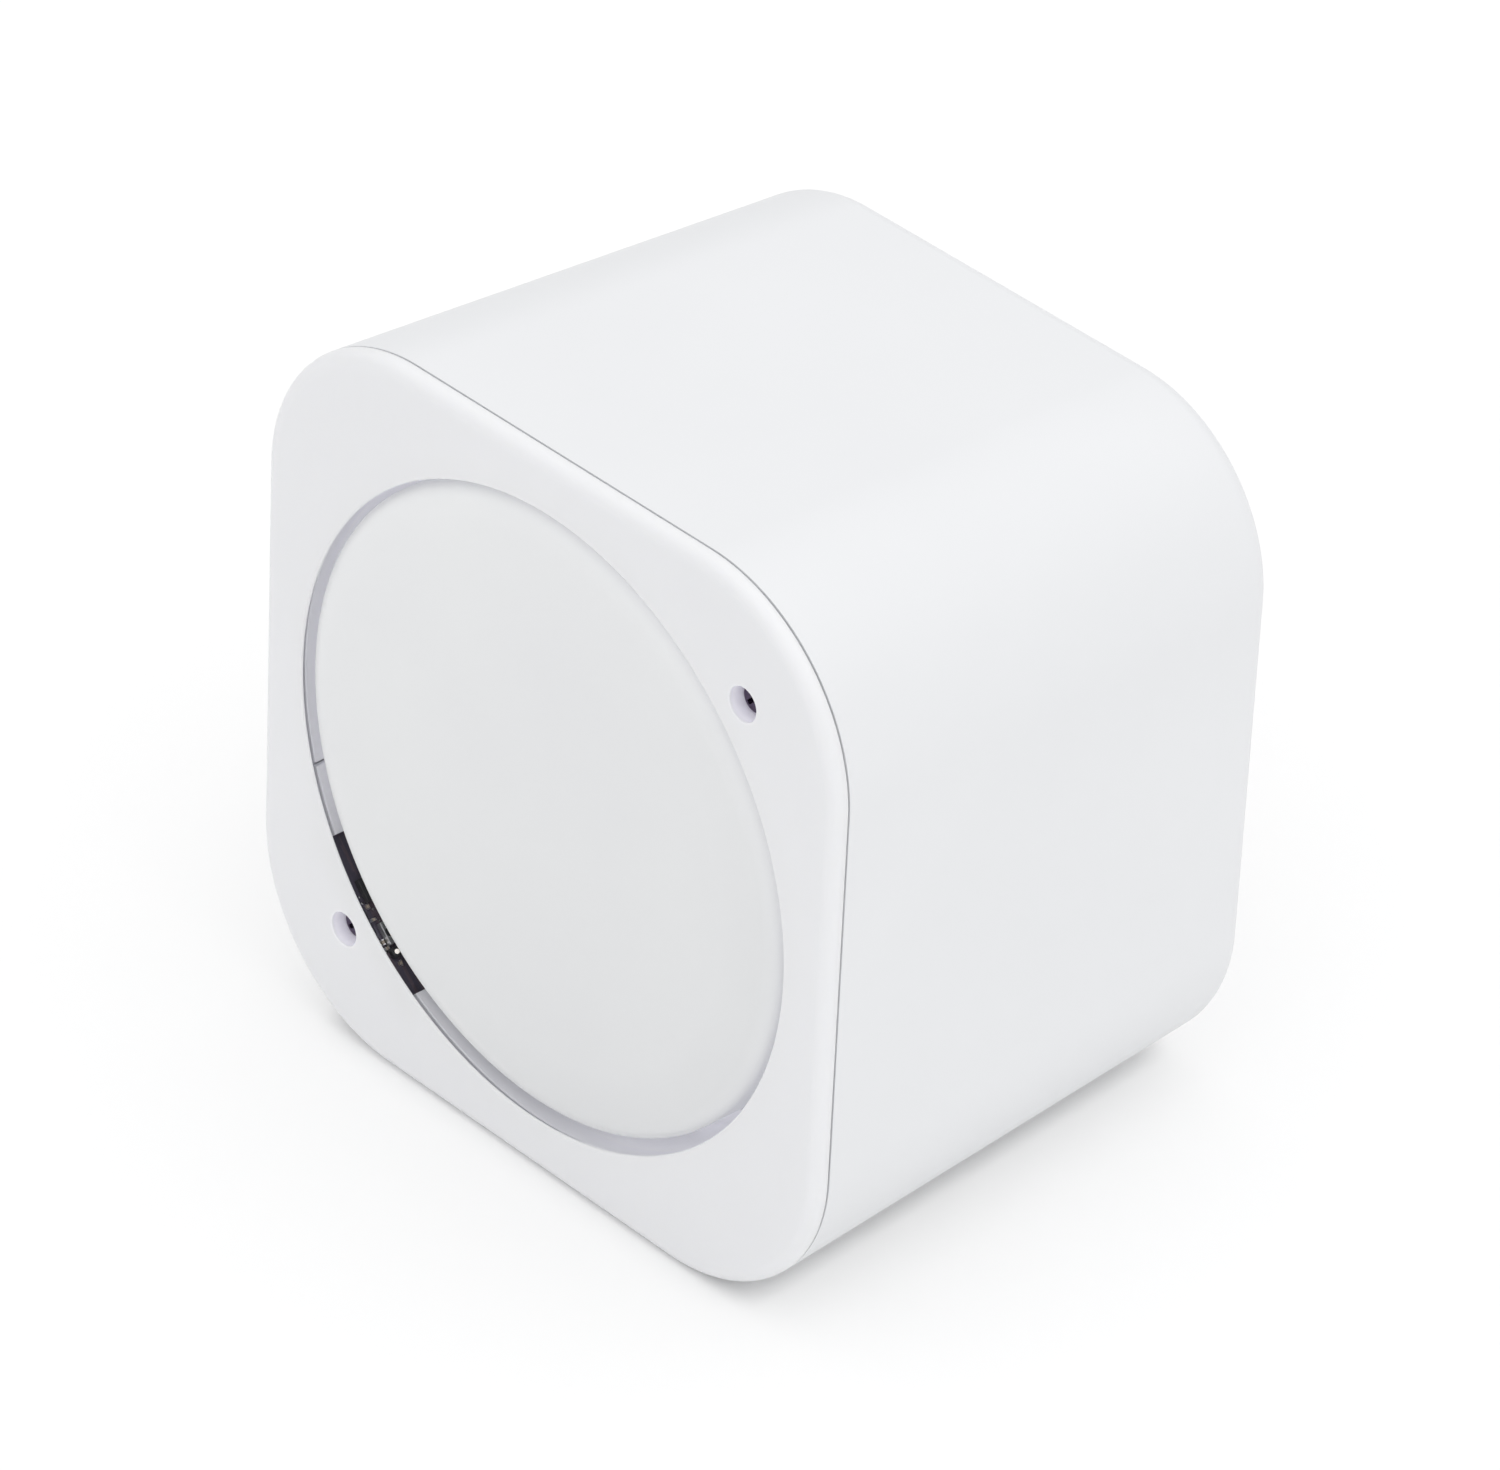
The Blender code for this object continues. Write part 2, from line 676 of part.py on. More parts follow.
def led_board():
    radius = DISC_RADIUS - DISC_WALL - 1.2 * MM
    top = LED_BOARD_BOTTOM + 1.2 * MM
    profile = [(0, top), (radius, top), (radius, LED_BOARD_BOTTOM), (0, LED_BOARD_BOTTOM)]
    turned("led_board", profile, "green_board", steps=48)
    for number in range(LEDS):
        angle = 2 * math.pi * number / LEDS
        at = on_circle(LED_CIRCLE, angle)
        block_between(
            f"led_{number + 1}", LED[:2], at, top + SEAT, top + SEAT + LED[2],
            "led_white", angle=angle, bevel=0.15 * MM,
        )


# Sensor board in the ring's slot


def at_window(along, distance):
    """A point beside the ring's slot: along its wall, and at a distance from the hub's axis."""
    out = Vector(on_circle(1, WINDOW_ANGLE))
    side = Vector((-out.y, out.x))
    return out * distance + side * along


def air_sensor_board():
    long, thick, deep = SENSOR_BOARD
    inner = SENSOR_BOARD_DISTANCE
    bottom, top = SENSOR_BOARD_BOTTOM, SENSOR_BOARD_BOTTOM + deep
    board_at = at_window(0, inner + thick / 2)
    block_between("air_sensor_board", (thick, long), board_at, bottom, top, "dark_board", angle=WINDOW_ANGLE)
    # name, place along the wall, width, height off the board, bottom, top, finish
    parts = (
        ("gas_sensor", 2.1 * MM, 2.4 * MM, 0.80 * MM, 55.6 * MM, 58.2 * MM, "tin"),
        ("humidity_sensor", -2.6 * MM, 2.4 * MM, 0.75 * MM, 55.8 * MM, 58.2 * MM, "dark_plastic"),
        ("light_sensor", 4.15 * MM, 1.0 * MM, 0.60 * MM, 57.3 * MM, 58.3 * MM, "clear_plastic"),
    )
    for name, along, width, rise, low, high, finish in parts:
        at = at_window(along, inner - SEAT - rise / 2)
        block_between(name, (rise, width), at, low, high, finish, angle=WINDOW_ANGLE, bevel=0.08 * MM)


def sensor_cable_spot():
    """Where the sensor board's cable goes down behind it."""
    return tuple(at_window(6.0 * MM, SENSOR_BOARD_DISTANCE + SENSOR_BOARD[1] + 0.95 * MM))


# Chassis


def chassis():
    """The plate behind the ring: it carries the front stack and the fan, and is screwed to two posts."""
    top = CHASSIS_BOTTOM + CHASSIS
    bm = bmesh.new()
    drafted_prism(bm, CHASSIS_BOTTOM, top, inset=WALL + 0.5 * MM)
    plate = place("chassis", mesh_from(bm, "chassis", smooth=True), "dark_plastic")
    below, above = CHASSIS_BOTTOM - MM, top + MM
    tools = [rod("chassis_fan_hole", 11.0 * MM, below, above, at=FAN_CENTRE, steps=32)]
    for sign in (1, -1):
        name = f"chassis_notch_{sign}"
        corner = 35.0 * MM
        at = (sign * (SCREW_SPOT + corner) / 2, sign * (SCREW_SPOT + corner) / 2)
        tools.append(rod(name, POST_RADIUS + GAP, below, above, at=(sign * SCREW_SPOT,) * 2, steps=24))
        tools.append(
            block_between(name + "_slot", (12 * MM, 2.0 * MM), at, below, above, angle=math.pi / 4)
        )
        hole_at = (-sign * SCREW_SPOT, sign * SCREW_SPOT)
        tools.append(rod(f"chassis_hole_{sign}", 1.3 * MM, below, above, at=hole_at, steps=12))
    tools += air_slots("chassis_air", CHASSIS_BOTTOM, top)
    tools += carrier_screw_holes("chassis_screw_hole", CHASSIS_BOTTOM, top)
    tools.append(block_between("chassis_cable_hole", CABLE_HOLE, CABLE_HOLE_AT, below, above))
    tools.append(rod("chassis_sensor_hole", 1.8 * MM, below, above, at=sensor_cable_spot(), steps=12))
    for number, at in enumerate(fan_screw_spots()):
        tools.append(rod(f"chassis_fan_pilot_{number}", 1.05 * MM, below, above, at=at, steps=12))
    cut(plate, *tools)
    return plate


def chassis_screws():
    for number, sign in ((1, 1), (2, -1)):
        at = (-sign * SCREW_SPOT, sign * SCREW_SPOT)
        seat = CHASSIS_BOTTOM + CHASSIS + SEAT
        pan_screw(f"chassis_screw_{number}", at, seat, SCREW_HEAD, (1.0 * MM, 9.0 * MM))


# Fan


def fan_screw_spots():
    reach = 10.2 * MM
    x, y = FAN_CENTRE
    return [(x + reach, y + reach), (x - reach, y - reach)]


def fan_frame():
    """Square fan body with a through bore, and a three-armed spider that holds the bearing tube."""
    frame = block_between(
        "fan_frame", (FAN_SIZE, FAN_SIZE), FAN_CENTRE, FAN_BOTTOM, FAN_TOP, "dark_plastic", bevel=0.8 * MM
    )
    cut(frame, rod("fan_bore", FAN_BORE, FAN_BOTTOM - MM, FAN_TOP + MM, at=FAN_CENTRE, steps=48))
    base_top = FAN_BOTTOM + 1.0 * MM
    spider = [rod("fan_base", 5.3 * MM, FAN_BOTTOM, base_top, at=FAN_CENTRE, steps=24)]
    for number in range(3):
        angle = math.radians(90 + 120 * number)
        middle = (FAN_BORE + 0.4 * MM + 4.0 * MM) / 2
        length = FAN_BORE + 0.4 * MM - 4.0 * MM
        offset = on_circle(middle, angle)
        at = (FAN_CENTRE[0] + offset[0], FAN_CENTRE[1] + offset[1])
        spider.append(
            block_between(
                f"fan_arm_{number}", (length, 1.6 * MM), at, FAN_BOTTOM, base_top - 0.1 * MM, angle=angle
            )
        )
    spider.append(rod("fan_tube", 1.6 * MM, FAN_BOTTOM + 0.5 * MM, FAN_BOTTOM + 5.0 * MM, at=FAN_CENTRE))
    join(frame, *spider)
    bore_bottom = FAN_BOTTOM + 0.5 * MM
    holes = [rod("fan_tube_bore", 1.12 * MM, bore_bottom, FAN_TOP, at=FAN_CENTRE)]
    for number, at in enumerate(fan_screw_spots()):
        holes.append(
            rod(f"fan_screw_hole_{number}", 1.2 * MM, FAN_BOTTOM - MM, FAN_TOP + MM, at=at, steps=12)
        )
    cut(frame, *holes)


def fan_bearing():
    bottom, top = FAN_BOTTOM + 0.6 * MM, FAN_BOTTOM + 4.9 * MM
    profile = [(1.02 * MM, top), (1.02 * MM, bottom), (0.56 * MM, bottom), (0.56 * MM, top)]
    turned("fan_bearing", profile, "brass", FAN_CENTRE, steps=20, closed=True)


def fan_stator():
    """Four coil poles on a ring round the bearing tube."""
    bottom, top = FAN_BOTTOM + 1.5 * MM, FAN_BOTTOM + 4.8 * MM
    profile = [(2.3 * MM, top), (2.3 * MM, bottom), (1.72 * MM, bottom), (1.72 * MM, top)]
    stator = turned("fan_stator", profile, "copper", FAN_CENTRE, steps=24, closed=True)
    poles = []
    for number in range(4):
        angle = number * math.pi / 2
        offset = on_circle(2.65 * MM, angle)
        at = (FAN_CENTRE[0] + offset[0], FAN_CENTRE[1] + offset[1])
        poles.append(
            block_between(
                f"fan_pole_{number}", (1.0 * MM, 1.6 * MM), at, bottom + 0.4 * MM, top - 0.4 * MM, angle=angle
            )
        )
    join(stator, *poles)


def fan_rotor():
    """Cup, shaft and blades. Its origin is on the shaft's axis."""
    top = FAN_TOP - 0.5 * MM
    rim = FAN_BOTTOM + 1.5 * MM
    tip = FAN_BOTTOM + 0.8 * MM
    ceiling = top - 0.8 * MM
    profile = [
        (0, top),
        (4.7 * MM, top),
        (5.2 * MM, top - 0.5 * MM),
        (5.2 * MM, rim),
        (4.6 * MM, rim),
        (4.6 * MM, ceiling),
        (0.5 * MM, ceiling),
        (0.5 * MM, tip),
        (0, tip),
    ]
    rotor = turned("fan_rotor", profile, "dark_plastic", FAN_CENTRE, steps=32)
    blades = [fan_blade(number, (rim + top) / 2) for number in range(FAN_BLADES)]
    join(rotor, *blades)


def fan_blade(number, height):
    inner, outer = 4.95 * MM, 11.0 * MM
    angle = 2 * math.pi * number / FAN_BLADES
    bm = bmesh.new()
    bmesh.ops.create_cube(bm, size=1.0)
    bmesh.ops.scale(bm, vec=(outer - inner, 5.2 * MM, 0.6 * MM), verts=bm.verts)
    for vert in bm.verts:
        pitch = math.radians(46 if vert.co.x < 0 else 30)
        vert.co = Matrix.Rotation(pitch, 3, "X") @ vert.co
    blade = place(f"fan_blade_{number}", mesh_from(bm, "fan_blade"), None)
    offset = on_circle((inner + outer) / 2, angle)
    blade.location = (FAN_CENTRE[0] + offset[0], FAN_CENTRE[1] + offset[1], height)
    blade.rotation_euler = (0, 0, angle)
    return blade


def fan_magnet():
    bottom, top = FAN_BOTTOM + 1.7 * MM, FAN_BOTTOM + 5.4 * MM
    profile = [(4.5 * MM, top), (4.5 * MM, bottom), (3.7 * MM, bottom), (3.7 * MM, top)]
    turned("fan_magnet", profile, "magnet", FAN_CENTRE, steps=32, closed=True)


def fan_screws():
    for number, at in enumerate(fan_screw_spots(), 1):
        seat = FAN_BOTTOM - SEAT
        pan_screw(f"fan_screw_{number}", at, seat, (1.9 * MM, 1.2 * MM), (0.9 * MM, 8.6 * MM), down=False)


# Main board


def main_board():
    board = block_between(
        "main_board", MAIN_BOARD[:2], (0, 0), MAIN_BOARD_BOTTOM, MAIN_BOARD_TOP, "green_board"
    )
    holes = []
    for sign_x in (1, -1):
        for sign_y in (1, -1):
            at = (sign_x * BOARD_HOLE[0], sign_y * BOARD_HOLE[1])
            holes.append(
                rod(f"board_hole_{sign_x}_{sign_y}", 1.3 * MM, 15 * MM, 25 * MM, at=at, steps=12)
            )
    cut(board, *holes)
    for number, (sign_x, sign_y) in enumerate(((1, 1), (-1, 1), (-1, -1), (1, -1)), 1):
        at = (sign_x * BOARD_HOLE[0], sign_y * BOARD_HOLE[1])
        seat = MAIN_BOARD_TOP + SEAT
        pan_screw(f"board_screw_{number}", at, seat, (2.0 * MM, 1.4 * MM), (1.0 * MM, 8.0 * MM))


def seated(name, size, at, finish, bevel=0.0):
    """A part soldered on the main board's front side."""
    bottom = MAIN_BOARD_TOP + SEAT
    return block_between(name, size[:2], at, bottom, bottom + size[2], finish, bevel=bevel)


def processor_stack():
    at = (0, 4.0 * MM)
    seated("processor", (14 * MM, 14 * MM, 1.2 * MM), at, "dark_plastic")
    pad_bottom = MAIN_BOARD_TOP + 1.2 * MM + 2 * SEAT
    block_between("thermal_pad", (13 * MM, 13 * MM), at, pad_bottom, pad_bottom + 0.6 * MM, "grey_pad")
    base = pad_bottom + 0.6 * MM + SEAT
    height = 9.0 * MM
    sink = block_between("heat_sink", (22 * MM, 22 * MM), at, base, base + height, "aluminium")
    channels = []
    pitch = 3.2 * MM
    for number in range(6):
        x = at[0] + (number - 2.5) * pitch
        channels.append(
            block_between(
                f"sink_channel_{number}", (1.9 * MM, 24 * MM), (x, at[1]), base + 1.6 * MM, base + height + MM
            )
        )
    cut(sink, *channels)


def radio_module():
    seated("radio_module", (14 * MM, 18 * MM, RADIO_HEIGHT), (-20 * MM, 4 * MM), "tin", bevel=0.4 * MM)


def buzzer():
    bottom = MAIN_BOARD_TOP + SEAT
    top = bottom + 6.5 * MM
    profile = [
        (1.0 * MM, top),
        (5.6 * MM, top),
        (6.0 * MM, top - 0.4 * MM),
        (6.0 * MM, bottom),
        (0, bottom),
        (0, bottom + 1.5 * MM),
        (1.0 * MM, bottom + 1.5 * MM),
    ]
    turned("buzzer", profile, "dark_plastic", (20 * MM, -9 * MM), steps=28, closed=True)


def headers():
    seated("main_header", (7.5 * MM, 4.0 * MM, 3.0 * MM), (20.5 * MM, 8 * MM), "led_white")
    top = LED_BOARD_BOTTOM - SEAT
    size = (3.0 * MM, 5.0 * MM)
    block_between("led_header", size, CABLE_HOLE_AT, top - 1.6 * MM, top, "led_white")


def ethernet_jack():
    """Vertical network socket: its mouth faces the rear, with a keyway for the plug's latch."""
    jack = block_between(
        "ethernet_jack", ETHERNET_SIZE, ETHERNET_AT, SOCKET_FACE, SOCKET_TOP, "dark_plastic", bevel=0.25 * MM
    )
    x, y = ETHERNET_AT
    below = -MM
    mouth = block_between("ethernet_mouth", ETHERNET_PLUG, ETHERNET_AT, below, ETHERNET_DEPTH)
    keyway_at = (x, y - ETHERNET_PLUG[1] / 2)
    keyway = block_between(
        "ethernet_keyway", ETHERNET_KEYWAY, keyway_at, below, ETHERNET_DEPTH - 2 * MM
    )
    cut(jack, mouth, keyway)
    contact_y = y + ETHERNET_PLUG[1] / 2 - 0.55 * MM
    contact_bottom = 6.0 * MM
    comb = block_between(
        "ethernet_contacts", (7.6 * MM, 0.5 * MM), (x, contact_y),
        contact_bottom, ETHERNET_DEPTH - SEAT, "brass",
    )
    slots = [
        block_between(
            f"contact_slot_{i}", (0.5 * MM, 2 * MM), (x + (i - 3) * CONTACT_PITCH, contact_y),
            contact_bottom - MM, ETHERNET_DEPTH - 1.5 * MM,
        )
        for i in range(7)
    ]
    cut(comb, *slots)


def power_jack():
    """Vertical barrel socket: square body, round nose through the rear wall, centre pin."""
    nose_top = 6.0 * MM
    body = block_between("power_jack", (10 * MM, 11 * MM), POWER_AT, nose_top, SOCKET_TOP, "dark_plastic")
    nose = rod("power_nose", POWER_NOSE, SOCKET_FACE, nose_top + MM, at=POWER_AT, steps=28)
    join(body, nose)
    bore = rod("power_bore", POWER_BORE, -MM, 12 * MM, at=POWER_AT, steps=28)
    pin_seat = rod("power_pin_seat", 1.1 * MM, 11 * MM, 16 * MM, at=POWER_AT, steps=16)
    cut(body, bore, pin_seat)
    bottom = 2.2 * MM
    profile = [
        (0, 15.5 * MM),
        (1.0 * MM, 15.5 * MM),
        (1.0 * MM, bottom + 0.6 * MM),
        (0.6 * MM, bottom),
        (0, bottom),
    ]
    turned("power_pin", profile, "brass", POWER_AT, steps=16)


def tact_switch(name, at):
    """A switch body on the main board's rear side, with a bore for its plunger."""
    bottom = SOCKET_TOP - SWITCH_SIZE[2]
    body = block_between(name, SWITCH_SIZE[:2], at, bottom, SOCKET_TOP, "dark_plastic", bevel=0.2 * MM)
    bore = PLUNGER_RADIUS + 0.08 * MM
    cut(body, rod(name + "_bore", bore, bottom - MM, bottom + 2.4 * MM, at=at, steps=20))


def plunger(name, at):
    """The switch's moving stem. Its origin is on its line of travel."""
    bottom = SOCKET_TOP - SWITCH_SIZE[2] - PLUNGER_RISE
    rod(name, PLUNGER_RADIUS, bottom, bottom + PLUNGER_RISE + 1.2 * MM, "white_satin", at=at, steps=20)
    return bottom


def pair_button():
    """Cap in the rear wall, retaining collar behind it, and a stem that reaches the switch's plunger."""
    plunger_end = plunger("pair_plunger", PAIR_AT)
    stem_end = plunger_end - SEAT
    crown = -BUTTON_PROUD
    edge = 0.5 * MM
    collar_bottom = REAR_WALL + GAP
    collar_top = collar_bottom + 1.0 * MM
    profile = [
        (0, stem_end),
        (BUTTON_STEM, stem_end),
        (BUTTON_STEM, collar_top),
        (BUTTON_COLLAR, collar_top),
        (BUTTON_COLLAR, collar_bottom),
        (BUTTON_CAP, collar_bottom),
        (BUTTON_CAP, crown + edge),
        (BUTTON_CAP - edge, crown),
        (0, crown),
    ]
    turned("pair_button", profile, "white_satin", PAIR_AT, steps=28)


# Antennas and cables


def antennas():
    """Two flexible antennas that lie along the drafted side walls."""
    low, high = 25 * MM, 43 * MM
    middle = (low + high) / 2
    for name, sign in (("antenna_left", -1), ("antenna_right", 1)):
        x = sign * (half_width(middle) - WALL - 0.8 * MM)
        strip = block(name, (0.4 * MM, 12 * MM, high - low), (x, 2 * MM, middle), "copper")
        strip.rotation_euler = (0, sign * DRAFT_ANGLE, 0)


def smooth_path(points, steps=5):
    """Points of a Catmull-Rom path through the given ones."""
    knots = [Vector(p) for p in points]
    knots = [knots[0] * 2 - knots[1]] + knots + [knots[-1] * 2 - knots[-2]]
    path = []
    for a, b, c, d in zip(knots, knots[1:], knots[2:], knots[3:]):
        square = 2 * a - 5 * b + 4 * c - d
        cube = 3 * b - a - 3 * c + d
        for i in range(steps):
            t = i / steps
            path.append((2 * b + (c - a) * t + square * t**2 + cube * t**3) / 2)
    path.append(knots[-2])
    return path


def cable(name, points, radius, finish):
    path = smooth_path(points)
    curve = bpy.data.curves.new(name, "CURVE")
    curve.dimensions = "3D"
    curve.bevel_depth = radius
    curve.bevel_resolution = 1
    curve.use_fill_caps = True
    spline = curve.splines.new("POLY")
    spline.points.add(len(path) - 1)
    for point, co in zip(spline.points, path):
        point.co = (*co, 1)
    return place(name, curve, finish)


def cables():
    board = MAIN_BOARD_TOP
    x, y = sensor_cable_spot()
    cable(
        "sensor_cable",
        [(x, y, SENSOR_BOARD_BOTTOM + 2 * MM), (x, y, 44 * MM), (x, y + MM, 34 * MM),
         (-18 * MM, -18.5 * MM, 27 * MM), (-18 * MM, -17 * MM, board + GAP)],
        0.8 * MM, "cable_grey",
    )
    x, y = CABLE_HOLE_AT
    cable(
        "led_cable",
        [(x, y, LED_BOARD_BOTTOM - 2.0 * MM), (x, y, 46 * MM), (x + MM, y + MM, 36 * MM),
         (x, y, board + 3.4 * MM)],
        0.9 * MM, "cable_grey",
    )
    cable(
        "fan_cable",
        [(-9.0 * MM, -3.6 * MM, FAN_BOTTOM + 2 * MM), (-9.5 * MM, -7 * MM, 37 * MM),
         (-7 * MM, -13 * MM, 30 * MM), (-5 * MM, -15 * MM, board + GAP)],
        0.7 * MM, "dark_plastic",
    )
    radio_top = board + RADIO_HEIGHT + SEAT + 2 * GAP
    cable(
        "antenna_cable_left",
        [(-22 * MM, 9 * MM, radio_top), (-23 * MM, 9 * MM, 29 * MM), (-30 * MM, 8 * MM, 32 * MM),
         (-34.2 * MM, 5 * MM, 34 * MM)],
        0.5 * MM, "dark_plastic",
    )
    cable(
        "antenna_cable_right",
        [(-17 * MM, 10 * MM, radio_top), (-15 * MM, 18 * MM, 28 * MM), (0, 20 * MM, 34 * MM),
         (20 * MM, 17 * MM, 33 * MM), (34.2 * MM, 5 * MM, 34 * MM)],
        0.5 * MM, "dark_plastic",
    )


def build():
    housing_shell()
    front_bezel()
    bezel_screws()
    front_disc()
    light_guide()
    led_board()
    disc_carrier()
    inner_ring()
    carrier_screws()
    air_sensor_board()
    chassis()
    chassis_screws()
    fan_frame()
    fan_bearing()
    fan_stator()
    fan_rotor()
    fan_magnet()
    fan_screws()
    main_board()
    processor_stack()
    radio_module()
    buzzer()
    headers()
    ethernet_jack()
    power_jack()
    tact_switch("pair_switch", PAIR_AT)
    pair_button()
    tact_switch("reset_switch", RESET_AT)
    plunger("reset_plunger", RESET_AT)
    antennas()
    cables()


build()
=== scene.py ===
"""Looks of the smart home hub: fine pieces, finishes, floor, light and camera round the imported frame.

Pieces are modelled lying on the bench, as the hub is put together: X to the right, Y up the front face,
Z from the outside of the rear wall (0) to the front face (DEPTH). BENCH then stands them in the frame.
"""

import json
import math

import bmesh
import bpy
from mathutils import Matrix, Vector


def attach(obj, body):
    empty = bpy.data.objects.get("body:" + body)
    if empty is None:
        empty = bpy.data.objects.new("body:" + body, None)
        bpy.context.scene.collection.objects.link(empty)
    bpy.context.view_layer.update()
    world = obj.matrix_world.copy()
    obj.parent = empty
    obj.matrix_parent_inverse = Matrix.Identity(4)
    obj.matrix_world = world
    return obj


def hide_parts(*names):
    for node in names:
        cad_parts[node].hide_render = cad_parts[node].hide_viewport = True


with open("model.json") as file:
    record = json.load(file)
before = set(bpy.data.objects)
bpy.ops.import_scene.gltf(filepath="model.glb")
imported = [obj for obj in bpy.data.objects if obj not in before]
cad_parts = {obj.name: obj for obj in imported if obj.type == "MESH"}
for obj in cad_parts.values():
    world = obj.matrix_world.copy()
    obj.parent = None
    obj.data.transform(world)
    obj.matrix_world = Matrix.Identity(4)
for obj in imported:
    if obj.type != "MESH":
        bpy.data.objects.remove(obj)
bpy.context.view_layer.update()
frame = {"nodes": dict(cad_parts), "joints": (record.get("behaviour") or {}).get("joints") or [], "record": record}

MM = 0.001

# Driving dimensions
WIDTH = 80.0 * MM
DEPTH = 59.5 * MM
DRAFT = 2.85 * MM
CORNER_RADIUS = 19.5 * MM
WALL = 2.0 * MM
REAR_WALL = 2.2 * MM
REAR_FILLET = 2.5 * MM
INNER_FILLET = 0.8 * MM
RIM_FILLET = 0.07 * MM
SEAM = 0.24 * MM
GAP = 0.3 * MM
SEAT = 0.1 * MM
BEZEL_THICKNESS = 1.65 * MM
BEZEL_FILLET = 1.55 * MM
OPENING_RADIUS = 34.15 * MM
LIP = 0.25 * MM
UNDERCUT_RADIUS = 35.6 * MM
UNDERCUT_DEPTH = 0.9 * MM
TONGUE_DEPTH = 4.5 * MM
TONGUE_WALL = 1.2 * MM
DISC_RADIUS = 33.3 * MM
DISC_SPOT = (-0.1 * MM, 0.4 * MM)
DISC_WALL = 1.6 * MM
DISC_ROLL = (3.0 * MM, 1.6 * MM)
DISC_DEPTH = 9.0 * MM
RING_INNER = 34.6 * MM
RING_OUTER = 35.3 * MM
RING_TOP = DEPTH - 0.95 * MM
RING_BOTTOM = 48.6 * MM
FLANGE_INNER = 25.0 * MM
FLANGE = 1.4 * MM
WINDOW_ANGLE = math.radians(-134.7)
WINDOW_SPAN = math.radians(28.7)
WINDOW_DEPTH = 8.4 * MM
CLIP_SLOT_ANGLE = math.radians(-161.3)
CLIP_SLOT_WIDTH = 0.45 * MM
AIR_SLOTS = 12
AIR_SLOT = (2.0 * MM, 10.0 * MM)
AIR_SLOT_DISTANCE = 33.0 * MM
CARRIER_SCREWS = 3
CARRIER_SCREW_DISTANCE = 28.0 * MM
CARRIER_HOLE = 1.2 * MM
SCREW_SPOT = 27.15 * MM
THREAD_PITCH = 0.45 * MM
CROSS_DEPTH = 0.6 * MM
RAISED_HEAD = 0.15 * MM
RECESS_RADIUS = 1.8 * MM
RECESS_DEPTH = 3.0 * MM
RECESS_FLARE = 0.1 * MM
BOSS_WALL = 0.8 * MM
SENSOR_BOARD = (19.6 * MM, 0.6 * MM, 8.1 * MM)
SENSOR_BOARD_DISTANCE = 35.0 * MM
SENSOR_BOARD_BOTTOM = 50.4 * MM
POST_RADIUS = 2.5 * MM
BOARD_POST_RADIUS = 2.2 * MM
RIB = 1.2 * MM
PILOT_RADIUS = 1.15 * MM
PILOT_DEPTH = 11.0 * MM
BEZEL_POST_TOP = DEPTH - 4.5 * MM
CHASSIS_BOTTOM = 46.7 * MM
MAIN_BOARD_BOTTOM = 19.4 * MM
MAIN_BOARD = 1.6 * MM
BOARD_HOLE = (28.5 * MM, 19.0 * MM)
FAN_OFFSET = 10.0 * MM
ETHERNET_AT = (-16.0 * MM, -8.0 * MM)
ETHERNET_SIZE = (16.0 * MM, 13.6 * MM)
ETHERNET_PLUG = (11.9 * MM, 8.3 * MM)
ETHERNET_DEPTH = 14.0 * MM
KEYWAY = (6.2 * MM, 3.4 * MM)
POWER_AT = (4.0 * MM, -8.0 * MM)
POWER_HOLE = 4.7 * MM
POWER_BODY = (10.0 * MM, 11.0 * MM)
PAIR_AT = (20.0 * MM, -8.0 * MM)
PAIR_HOLE = 4.6 * MM
RESET_AT = (20.0 * MM, 4.0 * MM)
RESET_HOLE = 1.0 * MM
HOLE_FLARE = 0.25 * MM
SOCKET_FACE = 0.4 * MM
VENTS = 7
VENT = (1.8 * MM, 14.0 * MM)
VENT_PITCH = 5.0 * MM
VENT_HEIGHT = 17.5 * MM
VENT_FLARE = 0.3 * MM

# Fineness of the curved surfaces
ROUND_STEPS = 192
CORNER_STEPS = 32
SMALL_STEPS = 48
FILLET_STEPS = 10
WELD = 0.0005 * MM

# Camera, in the frame: it looks down on the hub's upper right front corner
CAMERA_AZIMUTH = 47.17
CAMERA_ELEVATION = 35.58
CAMERA_ROLL = math.radians(0.357)
CAMERA_DISTANCE = 0.91676
CAMERA_TARGET = Vector((-0.00237, 0.0, 0.03441))
CAMERA_LENS = 228.0

# Light: an even dome, and soft lights in it as (azimuth, elevation, focus, strength)
DOME_LIGHT = 0.418
SOFT_LIGHTS = ((0, 90, 1, 0.907), (CAMERA_AZIMUTH, 35, 4, 0.29), (CAMERA_AZIMUTH + 60, 35, 4, 0.352))
FLOOR_GLOW = 0.02
SHADOW_FADE = 0.4
CONTACT_REACH = 3.0 * MM
# Painted light: emission strengths for the ring's wall, the screw recesses and the disc's rolled edge.
RING_PAINTED_LIGHT = 0.18
RECESS_PAINTED_LIGHT = 0.19
DISC_PAINTED_LIGHT = 0.12

SLOT_OF = {row["node"]: row["material_slot"] for row in frame["record"]["subparts"]}
BODY_OF = {node: body for body, nodes in frame["record"]["behaviour"]["bodies"].items() for node in nodes}


def bench_matrix():
    """Stands the bench's axes in the frame: the fan's joint gives the tilt, the housing the rear face."""
    spin = next(joint for joint in frame["joints"] if joint["name"] == "fan_spin")
    out = Vector(spin["axis"]).normalized()
    right = Vector((1, 0, 0))
    up = out.cross(right)
    on_axis = Vector(spin["pos_m"])
    rear = min(vert.co.dot(out) for vert in frame["nodes"]["housing_shell"].data.vertices)
    origin = on_axis - up * FAN_OFFSET + out * (rear - on_axis.dot(out))
    matrix = Matrix((right, up, out)).transposed().to_4x4()
    matrix.translation = origin
    return matrix


BENCH = bench_matrix()


def on_circle(radius, angle):
    return (radius * math.cos(angle), radius * math.sin(angle))


# Finishes


